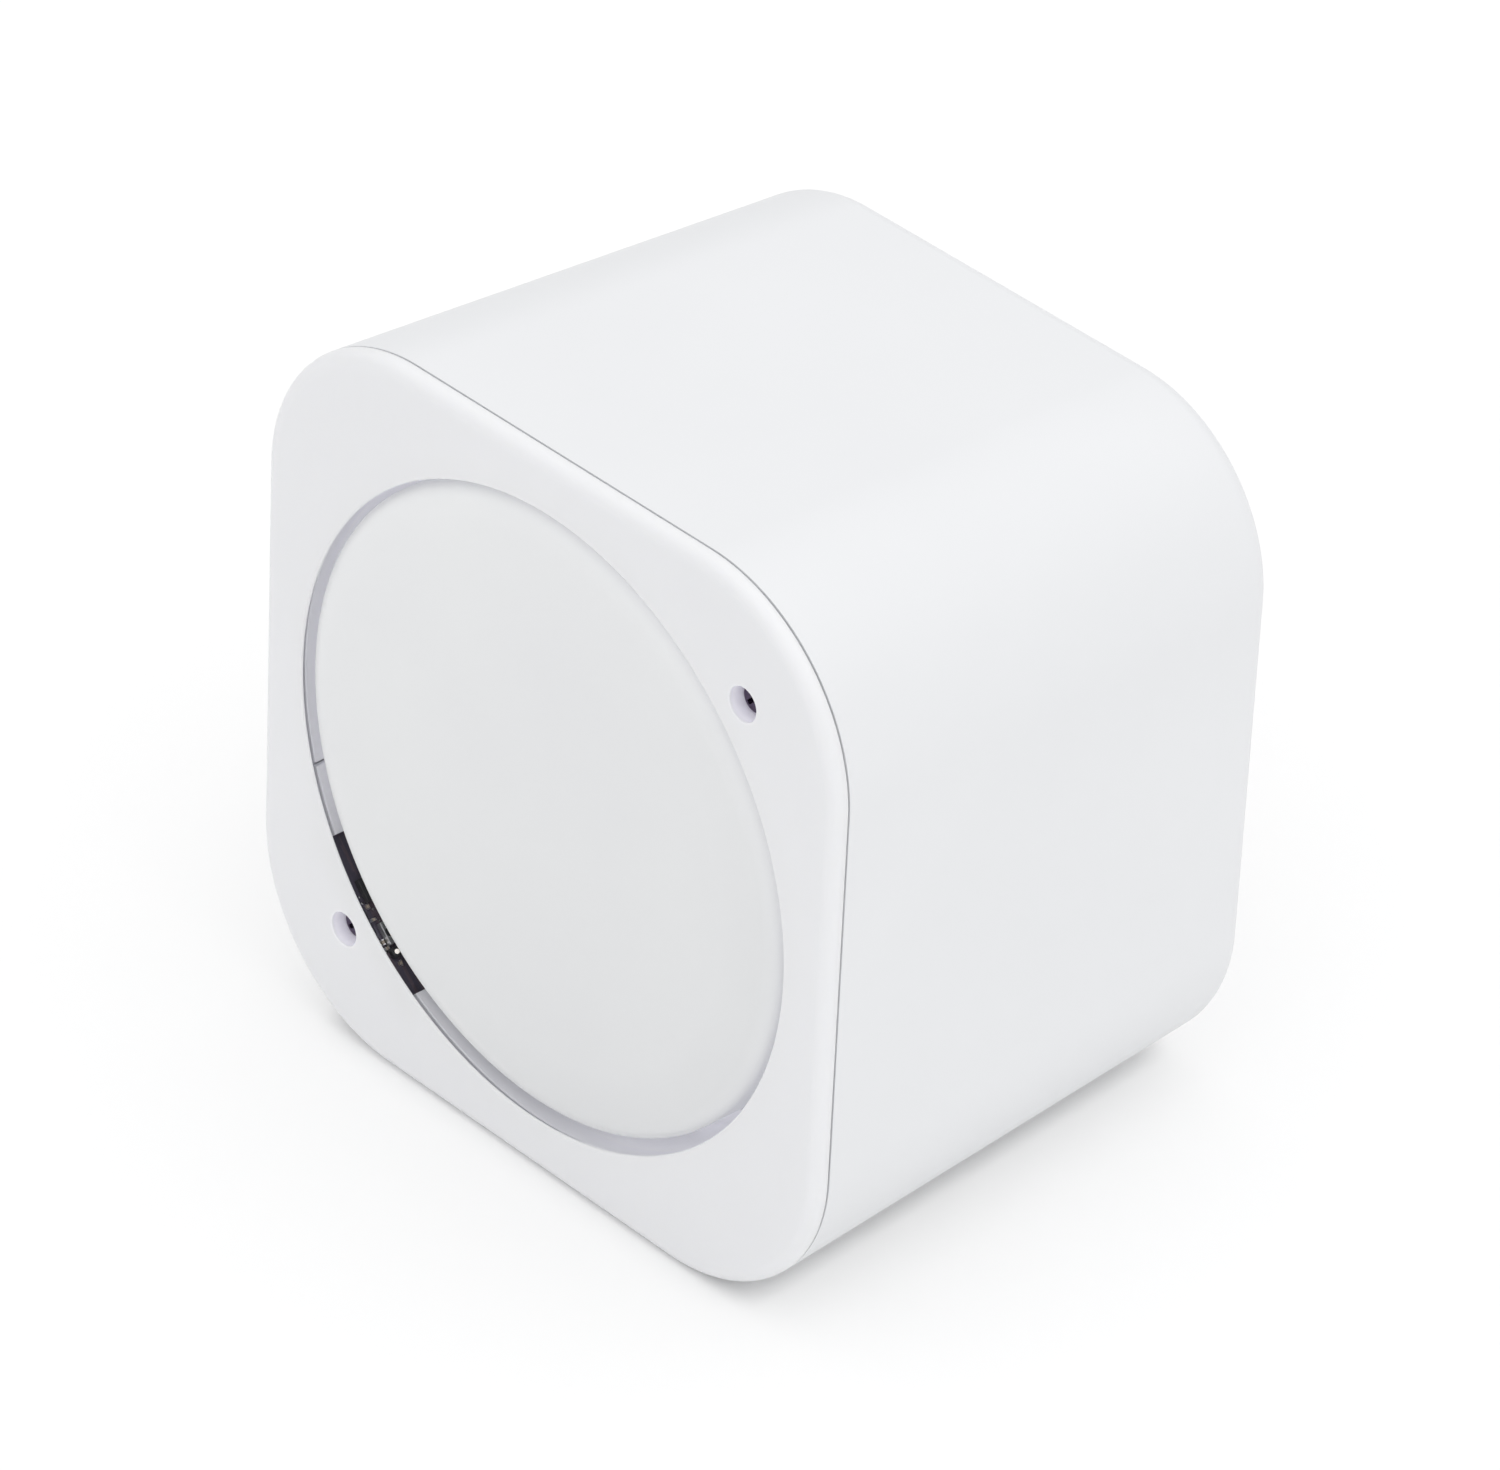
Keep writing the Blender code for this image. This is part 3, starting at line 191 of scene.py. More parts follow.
def maths(tree, operation, first, second):
    """A sum in a node tree, on sockets or numbers."""
    node = tree.nodes.new("ShaderNodeMath")
    node.operation = operation
    for socket, value in zip(node.inputs, (first, second)):
        if isinstance(value, (int, float)):
            socket.default_value = value
        else:
            tree.links.new(value, socket)
    return node.outputs["Value"]


class Finish:
    """A material's nodes, worked out from the point's place on the piece."""

    def __init__(self, name, metallic=0.0):
        self.material = bpy.data.materials.new(name)
        self.material.use_nodes = True
        self.tree = self.material.node_tree
        self.shader = self.tree.nodes["Principled BSDF"]
        self.shader.inputs["Metallic"].default_value = metallic
        self.place = self.tree.nodes.new("ShaderNodeTexCoord").outputs["Object"]

    def node(self, kind, **settings):
        made = self.tree.nodes.new(kind)
        for key, value in settings.items():
            setattr(made, key, value)
        return made

    def link(self, source, target):
        self.tree.links.new(source, target)

    def stretched(self, stretch):
        mapping = self.node("ShaderNodeMapping")
        mapping.inputs["Scale"].default_value = stretch
        self.link(self.place, mapping.inputs["Vector"])
        return mapping.outputs["Vector"]

    def noise(self, size, detail=2.0, stretch=None):
        """Soft noise whose blobs are about size across."""
        noise = self.node("ShaderNodeTexNoise")
        noise.inputs["Scale"].default_value = 1 / size
        noise.inputs["Detail"].default_value = detail
        self.link(self.stretched(stretch) if stretch else self.place, noise.inputs["Vector"])
        return noise.outputs["Fac"]

    def cells(self, size, distance):
        cells = self.node("ShaderNodeTexVoronoi", distance=distance)
        cells.inputs["Scale"].default_value = 1 / size
        self.link(self.place, cells.inputs["Vector"])
        return cells.outputs["Distance"]

    def waves(self, pitch, direction):
        """Straight waves, pitch apart: at scale 1 the texture's own are 1 / 3.2 apart."""
        waves = self.node("ShaderNodeTexWave", bands_direction=direction)
        waves.inputs["Scale"].default_value = 1 / (pitch * 3.2)
        waves.inputs["Detail"].default_value = 1.0
        self.link(self.place, waves.inputs["Vector"])
        return waves.outputs["Fac"]

    def remap(self, source, low, high, start=0.0, end=1.0):
        """source from start..end to low..high."""
        remap = self.node("ShaderNodeMapRange", clamp=True)
        for key, value in (("From Min", start), ("From Max", end), ("To Min", low), ("To Max", high)):
            remap.inputs[key].default_value = value
        self.link(source, remap.inputs["Value"])
        return remap.outputs["Result"]

    def combine(self, operation, first, second):
        return maths(self.tree, operation, first, second)

    def blend(self, share, first, second):
        mix = self.node("ShaderNodeMix", data_type="RGBA")
        self.link(share, mix.inputs["Factor"])
        for socket, value in ((mix.inputs["A"], first), (mix.inputs["B"], second)):
            if isinstance(value, tuple):
                socket.default_value = (*value, 1)
            else:
                self.link(value, socket)
        return mix.outputs["Result"]

    def along(self, direction):
        """How far the point lies in a direction from the piece's own origin."""
        dot = self.node("ShaderNodeVectorMath", operation="DOT_PRODUCT")
        dot.inputs[1].default_value = direction
        self.link(self.place, dot.inputs[0])
        return dot.outputs["Value"]

    def distance(self, spot=(0, 0)):
        """How far the point lies from an upright line through spot."""
        flat = self.node("ShaderNodeVectorMath", operation="MULTIPLY_ADD")
        flat.inputs[1].default_value = (1, 1, 0)
        flat.inputs[2].default_value = (-spot[0], -spot[1], 0)
        self.link(self.place, flat.inputs[0])
        length = self.node("ShaderNodeVectorMath", operation="LENGTH")
        self.link(flat.outputs["Vector"], length.inputs[0])
        return length.outputs["Value"]

    def multiplied(self, first, second):
        mix = self.node("ShaderNodeMix", data_type="RGBA", blend_type="MULTIPLY")
        mix.inputs["Factor"].default_value = 1.0
        self.link(first, mix.inputs["A"])
        self.link(second, mix.inputs["B"])
        return mix.outputs["Result"]

    def colour(self, source):
        self.link(source, self.shader.inputs["Base Color"])

    def roughness(self, source, low, high):
        self.link(self.remap(source, low, high), self.shader.inputs["Roughness"])

    def bump(self, *layers):
        """Raises the surface by layers of (height socket, height in metres)."""
        normal = None
        for source, height in layers:
            bump = self.node("ShaderNodeBump")
            bump.inputs["Strength"].default_value = 1.0
            bump.inputs["Distance"].default_value = height
            self.link(source, bump.inputs["Height"])
            if normal is not None:
                self.link(normal, bump.inputs["Normal"])
            normal = bump.outputs["Normal"]
        self.link(normal, self.shader.inputs["Normal"])

    def set(self, **values):
        for key, value in values.items():
            self.shader.inputs[key.replace("_", " ")].default_value = value
        return self


def shaded(colour, share):
    return tuple(channel * share for channel in colour)


def moulded(name, colour, roughness, grain, depth, mottle=0.985):
    """Injection-moulded plastic: fine spark-eroded grain, faint flow mottling, uneven sheen."""
    finish = Finish(name)
    flow = finish.noise(22 * MM, 3.0)
    finish.colour(finish.blend(finish.remap(flow, 0, 1, 0.3, 0.7), shaded(colour, mottle), colour))
    finish.roughness(finish.noise(0.6 * MM, 3.0), roughness - 0.05, roughness + 0.05)
    finish.bump((finish.noise(grain, 2.0), depth), (flow, 0.02 * MM))
    return finish


def housing_white():
    return moulded("housing_white", (0.766, 0.774, 0.789), 0.46, 0.14 * MM, 0.004 * MM)


def bezel_white():
    """The screw recesses get painted light: a faint lavender emission on their walls that fades out at the front
    face.
    """
    finish = moulded("bezel_white", (0.808, 0.813, 0.832), 0.44, 0.12 * MM, 0.003 * MM)
    from_screws = (finish.distance((sign * SCREW_SPOT, sign * SCREW_SPOT)) for sign in (1, -1))
    rim = RECESS_RADIUS + RECESS_FLARE
    inside = finish.remap(finish.combine("MINIMUM", *from_screws), 1, 0, rim, rim + 0.2 * MM)
    below = finish.remap(finish.along((0, 0, 1)), 1, 0, DEPTH - 0.5 * MM, DEPTH + 0.1 * MM)
    # Painted light: emission inside the recesses, below the front face.
    painted_glow = finish.combine("MULTIPLY", finish.combine("MULTIPLY", inside, below), RECESS_PAINTED_LIGHT)
    finish.link(painted_glow, finish.shader.inputs["Emission Strength"])
    return finish.set(
        Subsurface_Weight=0.3, Subsurface_Scale=2.0 * MM, Subsurface_Radius=(1.0, 1.0, 1.1),
        Emission_Color=(0.86, 0.80, 1.0, 1),
    )


def disc_white():
    """Opal plastic with a smooth skin, a shade warmer than the bezel; painted shade to the lower right, painted
    light on its edge.
    """
    finish = Finish("disc_white")
    cloud = finish.noise(30 * MM, 2.0)
    cloudy = finish.remap(cloud, 0, 1, 0.35, 0.65)
    patches = finish.blend(cloudy, (0.752, 0.759, 0.770), (0.768, 0.777, 0.783))
    # Painted shade: lighter towards the upper left, darker towards the lower right.
    slope = finish.remap(finish.along((0.6, -0.8, 0)), 0, 1, -DISC_RADIUS, DISC_RADIUS)
    painted_slope_shade = finish.blend(slope, (1.055,) * 3, (0.985,) * 3)
    # Painted shade: darker near the rim towards the lower right.
    rim = finish.remap(finish.distance(DISC_SPOT), 0, 1, 26.0 * MM, DISC_RADIUS)
    far = finish.remap(finish.along((0.75, -0.66, 0)), 0, 1, -6.0 * MM, 26.0 * MM)
    shadow = finish.blend(finish.combine("MULTIPLY", rim, far), (1.0,) * 3, (0.95,) * 3)
    finish.colour(finish.multiplied(finish.multiplied(patches, painted_slope_shade), shadow))
    finish.roughness(finish.noise(0.5 * MM, 3.0), 0.36, 0.46)
    finish.bump((finish.noise(0.10 * MM, 2.0), 0.002 * MM), (cloud, 0.015 * MM))
    finish.set(Subsurface_Weight=0.7, Subsurface_Scale=2.0 * MM, Subsurface_Radius=(1.0, 1.0, 1.0))
    # Painted light: emission on the rolled edge below the face, strongest towards the upper right.
    sunk = finish.remap(finish.along((0, 0, 1)), 1, 0, DEPTH - 1.0 * MM, DEPTH - 0.1 * MM)
    near = finish.remap(finish.along((0.74, 0.67, 0)), 0, 1, -40.0 * MM, 15.0 * MM)
    painted_glow = finish.combine("MULTIPLY", finish.combine("MULTIPLY", sunk, near), DISC_PAINTED_LIGHT)
    finish.link(painted_glow, finish.shader.inputs["Emission Strength"])
    return finish.set(Emission_Color=(0.97, 0.97, 1.0, 1))


def ring_grey():
    return moulded("ring_grey", (0.80, 0.80, 0.84), 0.42, 0.12 * MM, 0.003 * MM)


def ring_wall_painted_light():
    """The ring's plastic where it faces the gap, with painted light: emission that fades out at the wall's top
    edge and is weaker on the side towards the window.
    """
    finish = moulded("ring_wall_painted_light", (0.84, 0.84, 0.88), 0.42, 0.12 * MM, 0.003 * MM)
    depth = finish.remap(finish.along((0, 0, 1)), RING_PAINTED_LIGHT, 0.0, RING_TOP - 2.0 * MM, RING_TOP)
    toward_window = finish.along((*on_circle(1, WINDOW_ANGLE + math.radians(17)), 0))
    lit = finish.remap(toward_window, 1.0, 0.15, 0.7 * RING_INNER, RING_INNER)
    # Painted light: emission graded by depth and by side.
    finish.link(finish.combine("MULTIPLY", depth, lit), finish.shader.inputs["Emission Strength"])
    return finish.set(Emission_Color=(0.95, 0.94, 1.0, 1))


def dark_plastic():
    return moulded("dark_plastic", (0.035, 0.035, 0.038), 0.48, 0.10 * MM, 0.006 * MM, 0.8)


def white_nylon():
    return moulded("white_nylon", (0.72, 0.70, 0.62), 0.40, 0.16 * MM, 0.004 * MM, 0.95)


def clear_acrylic():
    finish = moulded("clear_acrylic", (0.80, 0.82, 0.82), 0.24, 0.20 * MM, 0.004 * MM, 0.97)
    return finish.set(Transmission_Weight=0.6, IOR=1.49)


def circuit_board(name, mask, copper, directions):
    """Solder mask over copper: tracks show as raised, lighter lines, in patches of two directions."""
    finish = Finish(name)
    patches = finish.noise(9.0 * MM, 0.0)
    first, second = (
        finish.combine(
            "MULTIPLY",
            finish.remap(finish.waves(0.9 * MM, direction), 0, 1, 0.62, 0.70),
            finish.remap(patches, *ends, 0.49, 0.51),
        )
        for direction, ends in zip(directions, ((0, 1), (1, 0)))
    )
    lanes = finish.combine("ADD", first, second)
    blocks = finish.remap(finish.cells(3.0 * MM, "CHEBYCHEV"), 0, 1, 0.30, 0.34)
    tracks = finish.combine("MULTIPLY", lanes, blocks)
    fibre = finish.noise(0.25 * MM, 3.0)
    weave = finish.blend(fibre, shaded(mask, 0.8), mask)
    finish.colour(finish.blend(tracks, weave, copper))
    finish.roughness(fibre, 0.28, 0.42)
    finish.bump((tracks, 0.02 * MM), (fibre, 0.004 * MM))
    return finish


def dark_board():
    return circuit_board("dark_board", (0.110, 0.098, 0.135), (0.135, 0.105, 0.130), ("DIAGONAL", "Z"))


def green_board():
    return circuit_board("green_board", (0.012, 0.105, 0.045), (0.04, 0.18, 0.075), ("X", "Y"))


def metal(name, colour, low, high, stretch):
    """Metal with fine drawn lines along the axis that stretch shortens."""
    finish = Finish(name, metallic=1.0)
    lines = finish.noise(0.30 * MM, 4.0, stretch)
    tarnish = finish.noise(2.5 * MM, 3.0)
    finish.colour(finish.blend(finish.remap(tarnish, 0, 1, 0.3, 0.7), shaded(colour, 0.86), colour))
    finish.roughness(lines, low, high)
    finish.bump((lines, 0.002 * MM))
    return finish


def dark_steel():
    return metal("dark_steel", (0.10, 0.075, 0.12), 0.28, 0.45, (1, 1, 4))


def bright_steel():
    return metal("bright_steel", (0.62, 0.63, 0.66), 0.20, 0.36, (1, 1, 4))


def tin():
    return metal("tin", (0.66, 0.66, 0.67), 0.24, 0.40, (4, 1, 1))


def brass():
    return metal("brass", (0.75, 0.56, 0.25), 0.16, 0.30, (1, 4, 1))


def copper():
    return metal("copper", (0.72, 0.37, 0.20), 0.22, 0.38, (1, 1, 6))


def aluminium():
    return metal("aluminium", (0.74, 0.75, 0.77), 0.26, 0.42, (5, 1, 1))


def grey_pad():
    return moulded("grey_pad", (0.26, 0.28, 0.32), 0.80, 0.30 * MM, 0.020 * MM, 0.85)


def cable_grey():
    return moulded("cable_grey", (0.20, 0.20, 0.22), 0.52, 0.15 * MM, 0.006 * MM, 0.9)


def magnet():
    return moulded("magnet", (0.06, 0.06, 0.065), 0.60, 0.08 * MM, 0.010 * MM, 0.7)


def solder():
    return metal("solder", (0.82, 0.82, 0.84), 0.10, 0.22, (1, 1, 1))


def lens_painted_glint():
    """A small clear package with a painted glint: its emission stands in for the light it catches."""
    finish = moulded("lens_painted_glint", (0.92, 0.90, 0.86), 0.20, 0.05 * MM, 0.001 * MM)
    return finish.set(Emission_Color=(1.0, 0.93, 0.85, 1), Emission_Strength=0.5)


def ceramic():
    return moulded("ceramic", (0.42, 0.36, 0.30), 0.35, 0.08 * MM, 0.003 * MM, 0.9)


FINISHES = {
    make.__name__: make().material
    for make in (
        housing_white, bezel_white, disc_white, ring_grey, dark_plastic, white_nylon, clear_acrylic,
        dark_board, green_board, dark_steel, bright_steel, tin, brass, copper, aluminium, grey_pad,
        cable_grey, magnet, solder, ceramic, ring_wall_painted_light, lens_painted_glint,
    )
}


# Mesh building


def bridge(bm, first, second):
    """Faces between two closed loops of vertices, or a loop and a single point."""
    count = max(len(first), len(second))
    for i in range(count):
        j = (i + 1) % count
        corners = []
        for vert in (
            first[i % len(first)], first[j % len(first)],
            second[j % len(second)], second[i % len(second)],
        ):
            if vert not in corners:
                corners.append(vert)
        bm.faces.new(corners)


def loft(bm, outlines, closed=False):
    """Joins outlines of (x, y, z) points in turn. An open loft gets a flat face at each end."""
    loops = [[bm.verts.new(point) for point in outline] for outline in outlines]
    for first, second in zip(loops, loops[1:]):
        bridge(bm, first, second)
    if closed:
        bridge(bm, loops[-1], loops[0])
    else:
        for loop in (loops[0], loops[-1]):
            if len(loop) > 2:
                bm.faces.new(loop)


def sweep(bm, profile, at=(0, 0), steps=ROUND_STEPS, closed=False):
    """A profile of (radius, height) points turned round a vertical axis through at."""
    outlines = []
    for radius, z in profile:
        angles = [2 * math.pi * i / steps for i in range(steps)] if radius > 0 else [0]
        outlines.append([(at[0] + radius * math.cos(a), at[1] + radius * math.sin(a), z) for a in angles])
    loft(bm, outlines, closed)


def swept(*settings, **options):
    """A new shape made by one sweep."""
    bm = bmesh.new()
    sweep(bm, *settings, **options)
    return bm


def add_rod(bm, radius, top, bottom, at, steps=SMALL_STEPS):
    """An upright cylinder."""
    sweep(bm, [(0, top), (radius, top), (radius, bottom), (0, bottom)], at, steps)


def rounded_outline(half_x, half_y, radius, z, steps, at=(0, 0), turn=0.0):
    """A rectangle with round corners, at height z."""
    points = []
    for corner, (sx, sy) in enumerate(((1, 1), (-1, 1), (-1, -1), (1, -1))):
        for i in range(steps + 1):
            angle = math.pi / 2 * (corner + i / steps)
            x = sx * (half_x - radius) + radius * math.cos(angle)
            y = sy * (half_y - radius) + radius * math.sin(angle)
            across = at[0] + x * math.cos(turn) - y * math.sin(turn)
            up = at[1] + x * math.sin(turn) + y * math.cos(turn)
            points.append((across, up, z))
    return points


def half_width(z):
    """Half the outer width at a height above the rear face."""
    return WIDTH / 2 - DRAFT * (1 - z / DEPTH)


def corner_radius(z):
    """The outer corners' radius at a height; it narrows with the width."""
    return CORNER_RADIUS * half_width(z) / (WIDTH / 2)


def hub_outline(z, inset=0.0):
    """The housing's outer outline at a height, drawn in by inset."""
    half = half_width(z) - inset
    return rounded_outline(half, half, corner_radius(z) - inset, z, CORNER_STEPS)


def arc(centre, radii, start, end, steps):
    """Points of part of an ellipse, as (across, height), with angles in degrees."""
    points = []
    for i in range(steps + 1):
        angle = math.radians(start + (end - start) * i / steps)
        points.append((centre[0] + radii[0] * math.cos(angle), centre[1] + radii[1] * math.sin(angle)))
    return points


def edge_sections(inset, z, radius, start, end, steps):
    """Sections (height, inset) round an edge whose centre lies inset in from the outline, at height z."""
    return [(height, across) for across, height in arc((inset, z), (radius, radius), start, end, steps)]


def solid(name, bm):
    """Makes an object of the closed shapes in bm."""
    bmesh.ops.recalc_face_normals(bm, faces=bm.faces)
    mesh = bpy.data.meshes.new(name)
    bm.to_mesh(mesh)
    bm.free()
    obj = bpy.data.objects.new(name, mesh)
    bpy.context.scene.collection.objects.link(obj)
    return obj


def bake_modifiers(obj):
    """Replaces obj's mesh with what its modifiers make of it, welded where points coincide."""
    evaluated = obj.evaluated_get(bpy.context.evaluated_depsgraph_get())
    mesh = bpy.data.meshes.new_from_object(evaluated)
    bm = bmesh.new()
    bm.from_mesh(mesh)
    bmesh.ops.remove_doubles(bm, verts=bm.verts, dist=WELD)
    bm.to_mesh(mesh)
    bm.free()
    old = obj.data
    obj.modifiers.clear()
    obj.data = mesh
    bpy.data.meshes.remove(old)


def combine(obj, operation, bm):
    """Cuts obj with, or joins to it, the closed shapes in bm."""
    tool = solid("tool", bm)
    boolean = obj.modifiers.new("shape", "BOOLEAN")
    boolean.operation = operation
    boolean.solver = "EXACT"
    boolean.object = tool
    bake_modifiers(obj)
    data = tool.data
    bpy.data.objects.remove(tool)
    bpy.data.meshes.remove(data)


def soften(obj, width, segments, angle):
    """Rounds the sharp edges that are left."""
    bevel = obj.modifiers.new("rounding", "BEVEL")
    bevel.width = width
    bevel.segments = segments
    bevel.limit_method = "ANGLE"
    bevel.angle_limit = math.radians(angle)
    bake_modifiers(obj)


def shade(obj, angle=35):
    """Shades smooth, apart from edges sharper than angle."""
    obj.data.shade_smooth()
    obj.data.set_sharp_from_angle(angle=math.radians(angle))
    level = obj.modifiers.new("even_shading", "WEIGHTED_NORMAL")
    level.keep_sharp = True


def show(obj, slot, body, *nodes, finish=None):
    """Stands a finished piece in the frame, on its body and in place of its CAD nodes."""
    obj.matrix_world = BENCH
    obj.data.materials.clear()
    obj.data.materials.append(FINISHES[finish or slot])
    shade(obj)
    if nodes:
        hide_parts(*nodes)
    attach(obj, body)
    return obj


def stand_for(obj, node, finish=None):
    """Shows obj in place of a CAD node, with that node's finish and on its body."""
    return show(obj, SLOT_OF[node], BODY_OF[node], node, finish=finish)


def add_block(bm, size, centre, turn=0.0, corner=0.0, steps=4):
    """A box with round vertical edges, turned about Z through its own centre."""
    half_x, half_y, half_z = (length / 2 for length in size)
    corner = corner or min(size[:2]) * 0.02
    loft(bm, [
        rounded_outline(half_x, half_y, corner, z, steps, centre[:2], turn)
        for z in (centre[2] - half_z, centre[2] + half_z)
    ])


def add_mouth_cutter(bm, half_x, half_y, corner, at, bottom, top, flare):
    """A hole from bottom up to top whose edge at the rear face (Z = 0) is rounded by flare."""
    outlines = [rounded_outline(half_x + flare, half_y + flare, corner + flare, bottom, 8, at)]
    for grow, z in arc((flare, flare), (flare, flare), 270, 180, 5):
        spread = flare - grow
        outlines.append(rounded_outline(half_x + spread, half_y + spread, corner + spread, z, 8, at))
    outlines.append(rounded_outline(half_x, half_y, corner, top, 8, at))
    loft(bm, outlines)


# Housing


def housing_shell():
    """The bucket: drafted sides, filleted rear, hollow inside, with posts and the rear wall's openings."""
    top = DEPTH - BEZEL_THICKNESS - SEAM
    sections = edge_sections(REAR_FILLET, REAR_FILLET, REAR_FILLET, 270, 180, FILLET_STEPS)
    sections += [(top * share, 0.0) for share in (0.25, 0.5, 0.75)]
    sections += edge_sections(RIM_FILLET, top - RIM_FILLET, RIM_FILLET, 180, 90, 3)
    sections.append((top, WALL))
    for rise, inset in ((1.0, 0.0), (0.3, 0.3), (0.0, 1.0)):
        sections.append((REAR_WALL + INNER_FILLET * rise, WALL + INNER_FILLET * inset))
    bm = bmesh.new()
    loft(bm, [hub_outline(z, inset) for z, inset in sections])
    shell = solid("housing_shell_fine", bm)
    combine(shell, "UNION", housing_posts())
    combine(shell, "UNION", corner_ribs())
    combine(shell, "DIFFERENCE", pilot_holes())
    combine(shell, "DIFFERENCE", rear_openings())
    stand_for(shell, "housing_shell")


def post_spots():
    """Corner posts as (x sign, y sign, top): two tall ones for the bezel, two for the chassis."""
    chassis_top = CHASSIS_BOTTOM - GAP
    return [(1, 1, BEZEL_POST_TOP), (-1, -1, BEZEL_POST_TOP), (-1, 1, chassis_top), (1, -1, chassis_top)]


def corner_reach(z):
    """How far the corners' outside lies from the hub's axis at a height."""
    radius = corner_radius(z)
    return (half_width(z) - radius) * math.sqrt(2) + radius


def add_rib(bm, sign_x, sign_y, top):
    """A rib from a corner post to the middle of the corner's wall."""
    turn = math.atan2(sign_y, sign_x)
    post = SCREW_SPOT * math.sqrt(2) + POST_RADIUS * 0.8
    outlines = []
    for z in (REAR_WALL / 2, top):
        reach = corner_reach(z) - WALL / 2
        middle = on_circle((post + reach) / 2, turn)
        outlines.append(rounded_outline((reach - post) / 2, RIB / 2, 0.05 * MM, z, 2, middle, turn))
    loft(bm, outlines)


def corner_ribs():
    """Ribs that tie the corner posts to the walls, a little lower than the posts."""
    bm = bmesh.new()
    for sx, sy, top in post_spots():
        add_rib(bm, sx, sy, top - 1.0 * MM)
    return bm


def board_posts():
    return [(sx * BOARD_HOLE[0], sy * BOARD_HOLE[1]) for sx in (1, -1) for sy in (1, -1)]


def housing_posts():
    bm = bmesh.new()
    for sx, sy, top in post_spots():
        add_rod(bm, POST_RADIUS, top, REAR_WALL / 2, (sx * SCREW_SPOT, sy * SCREW_SPOT))
    for at in board_posts():
        add_rod(bm, BOARD_POST_RADIUS, MAIN_BOARD_BOTTOM - SEAT, REAR_WALL / 2, at)
    return bm


def pilot_holes():
    bm = bmesh.new()
    spots = [((sx * SCREW_SPOT, sy * SCREW_SPOT), top) for sx, sy, top in post_spots()]
    spots += [(at, MAIN_BOARD_BOTTOM) for at in board_posts()]
    for at, top in spots:
        add_rod(bm, PILOT_RADIUS, top + MM, top - PILOT_DEPTH, at, 24)
    return bm


def rear_openings():
    bm = bmesh.new()
    below, above = -1 * MM, REAR_WALL + 1 * MM
    half_x, half_y = ETHERNET_SIZE[0] / 2 + GAP, ETHERNET_SIZE[1] / 2 + GAP
    add_mouth_cutter(bm, half_x, half_y, 0.8 * MM, ETHERNET_AT, below, above, HOLE_FLARE)
    for at, radius in ((POWER_AT, POWER_HOLE), (PAIR_AT, PAIR_HOLE), (RESET_AT, RESET_HOLE)):
        mouth = radius + HOLE_FLARE
        profile = [(0, above), (radius, above), (radius, HOLE_FLARE)]
        profile += arc((mouth, HOLE_FLARE), (HOLE_FLARE, HOLE_FLARE), 180, 270, 5)
        profile += [(mouth, below), (0, below)]
        sweep(bm, profile, at, 64)
    for number in range(VENTS):
        at = ((number - (VENTS - 1) / 2) * VENT_PITCH, VENT_HEIGHT)
        add_mouth_cutter(bm, VENT[0] / 2, VENT[1] / 2, VENT[0] * 0.48, at, below, above, VENT_FLARE)
    return bm


# Bezel


def front_bezel():
    """Front frame: rounded outer edge, thin undercut lip round the opening, tongue into the housing."""
    rear_edge = 0.06 * MM
    back = DEPTH - BEZEL_THICKNESS
    sections = edge_sections(BEZEL_FILLET, DEPTH - BEZEL_FILLET, BEZEL_FILLET, 90, 180, FILLET_STEPS)
    sections += edge_sections(rear_edge, back + rear_edge, rear_edge, 180, 270, 2)[1:]
    outer, inner = WALL + GAP, WALL + GAP + TONGUE_WALL
    tip = DEPTH - TONGUE_DEPTH
    sections += [(back, outer), (tip, outer), (tip, inner), (back, inner)]
    bm = bmesh.new()
    loft(bm, [hub_outline(z, inset) for z, inset in sections])
    bezel = solid("front_bezel_fine", bm)
    combine(bezel, "UNION", bezel_bosses())
    combine(bezel, "DIFFERENCE", bezel_opening())
    combine(bezel, "DIFFERENCE", sensor_pocket())
    combine(bezel, "DIFFERENCE", bezel_screw_recesses())
    stand_for(bezel, "front_bezel")


def screw_spots():
    return [(SCREW_SPOT, SCREW_SPOT), (-SCREW_SPOT, -SCREW_SPOT)]


def bezel_bosses():
    bm = bmesh.new()
    for at in screw_spots():
        add_rod(bm, RECESS_RADIUS + BOSS_WALL, DEPTH - BEZEL_THICKNESS / 2, BEZEL_POST_TOP + GAP, at)
    return bm


def bezel_opening():
    above = DEPTH + 1 * MM
    behind = DEPTH - TONGUE_DEPTH - 1 * MM
    profile = [(0, above), (OPENING_RADIUS + LIP, above)]
    profile += arc((OPENING_RADIUS + LIP, DEPTH - LIP), (LIP, LIP), 90, 180, 6)
    profile += [(UNDERCUT_RADIUS, DEPTH - UNDERCUT_DEPTH), (UNDERCUT_RADIUS, behind), (0, behind)]
    return swept(profile)


def sensor_pocket():
    """Relief behind the opening's edge that takes the top of the sensor board."""
    top = DEPTH - 0.65 * MM
    low = DEPTH - 3 * MM
    at = on_circle(SENSOR_BOARD_DISTANCE + 0.2 * MM, WINDOW_ANGLE)
    bm = bmesh.new()
    size = (1.8 * MM, SENSOR_BOARD[0] + 1.4 * MM, top - low)
    add_block(bm, size, (*at, (top + low) / 2), WINDOW_ANGLE)
    return bm


def bezel_screw_recesses():
    bm = bmesh.new()
    floor = DEPTH - RECESS_DEPTH
    above, below = DEPTH + 1 * MM, DEPTH - 6 * MM
    rim = RECESS_RADIUS + RECESS_FLARE
    for at in screw_spots():
        profile = [(0, above), (rim, above)]
        profile += arc((rim, DEPTH - RECESS_FLARE), (RECESS_FLARE, RECESS_FLARE), 90, 180, 5)
        profile += [(RECESS_RADIUS, floor), (PILOT_RADIUS, floor), (PILOT_RADIUS, below), (0, below)]
        sweep(bm, profile, at, 64)
    return bm


# Screws


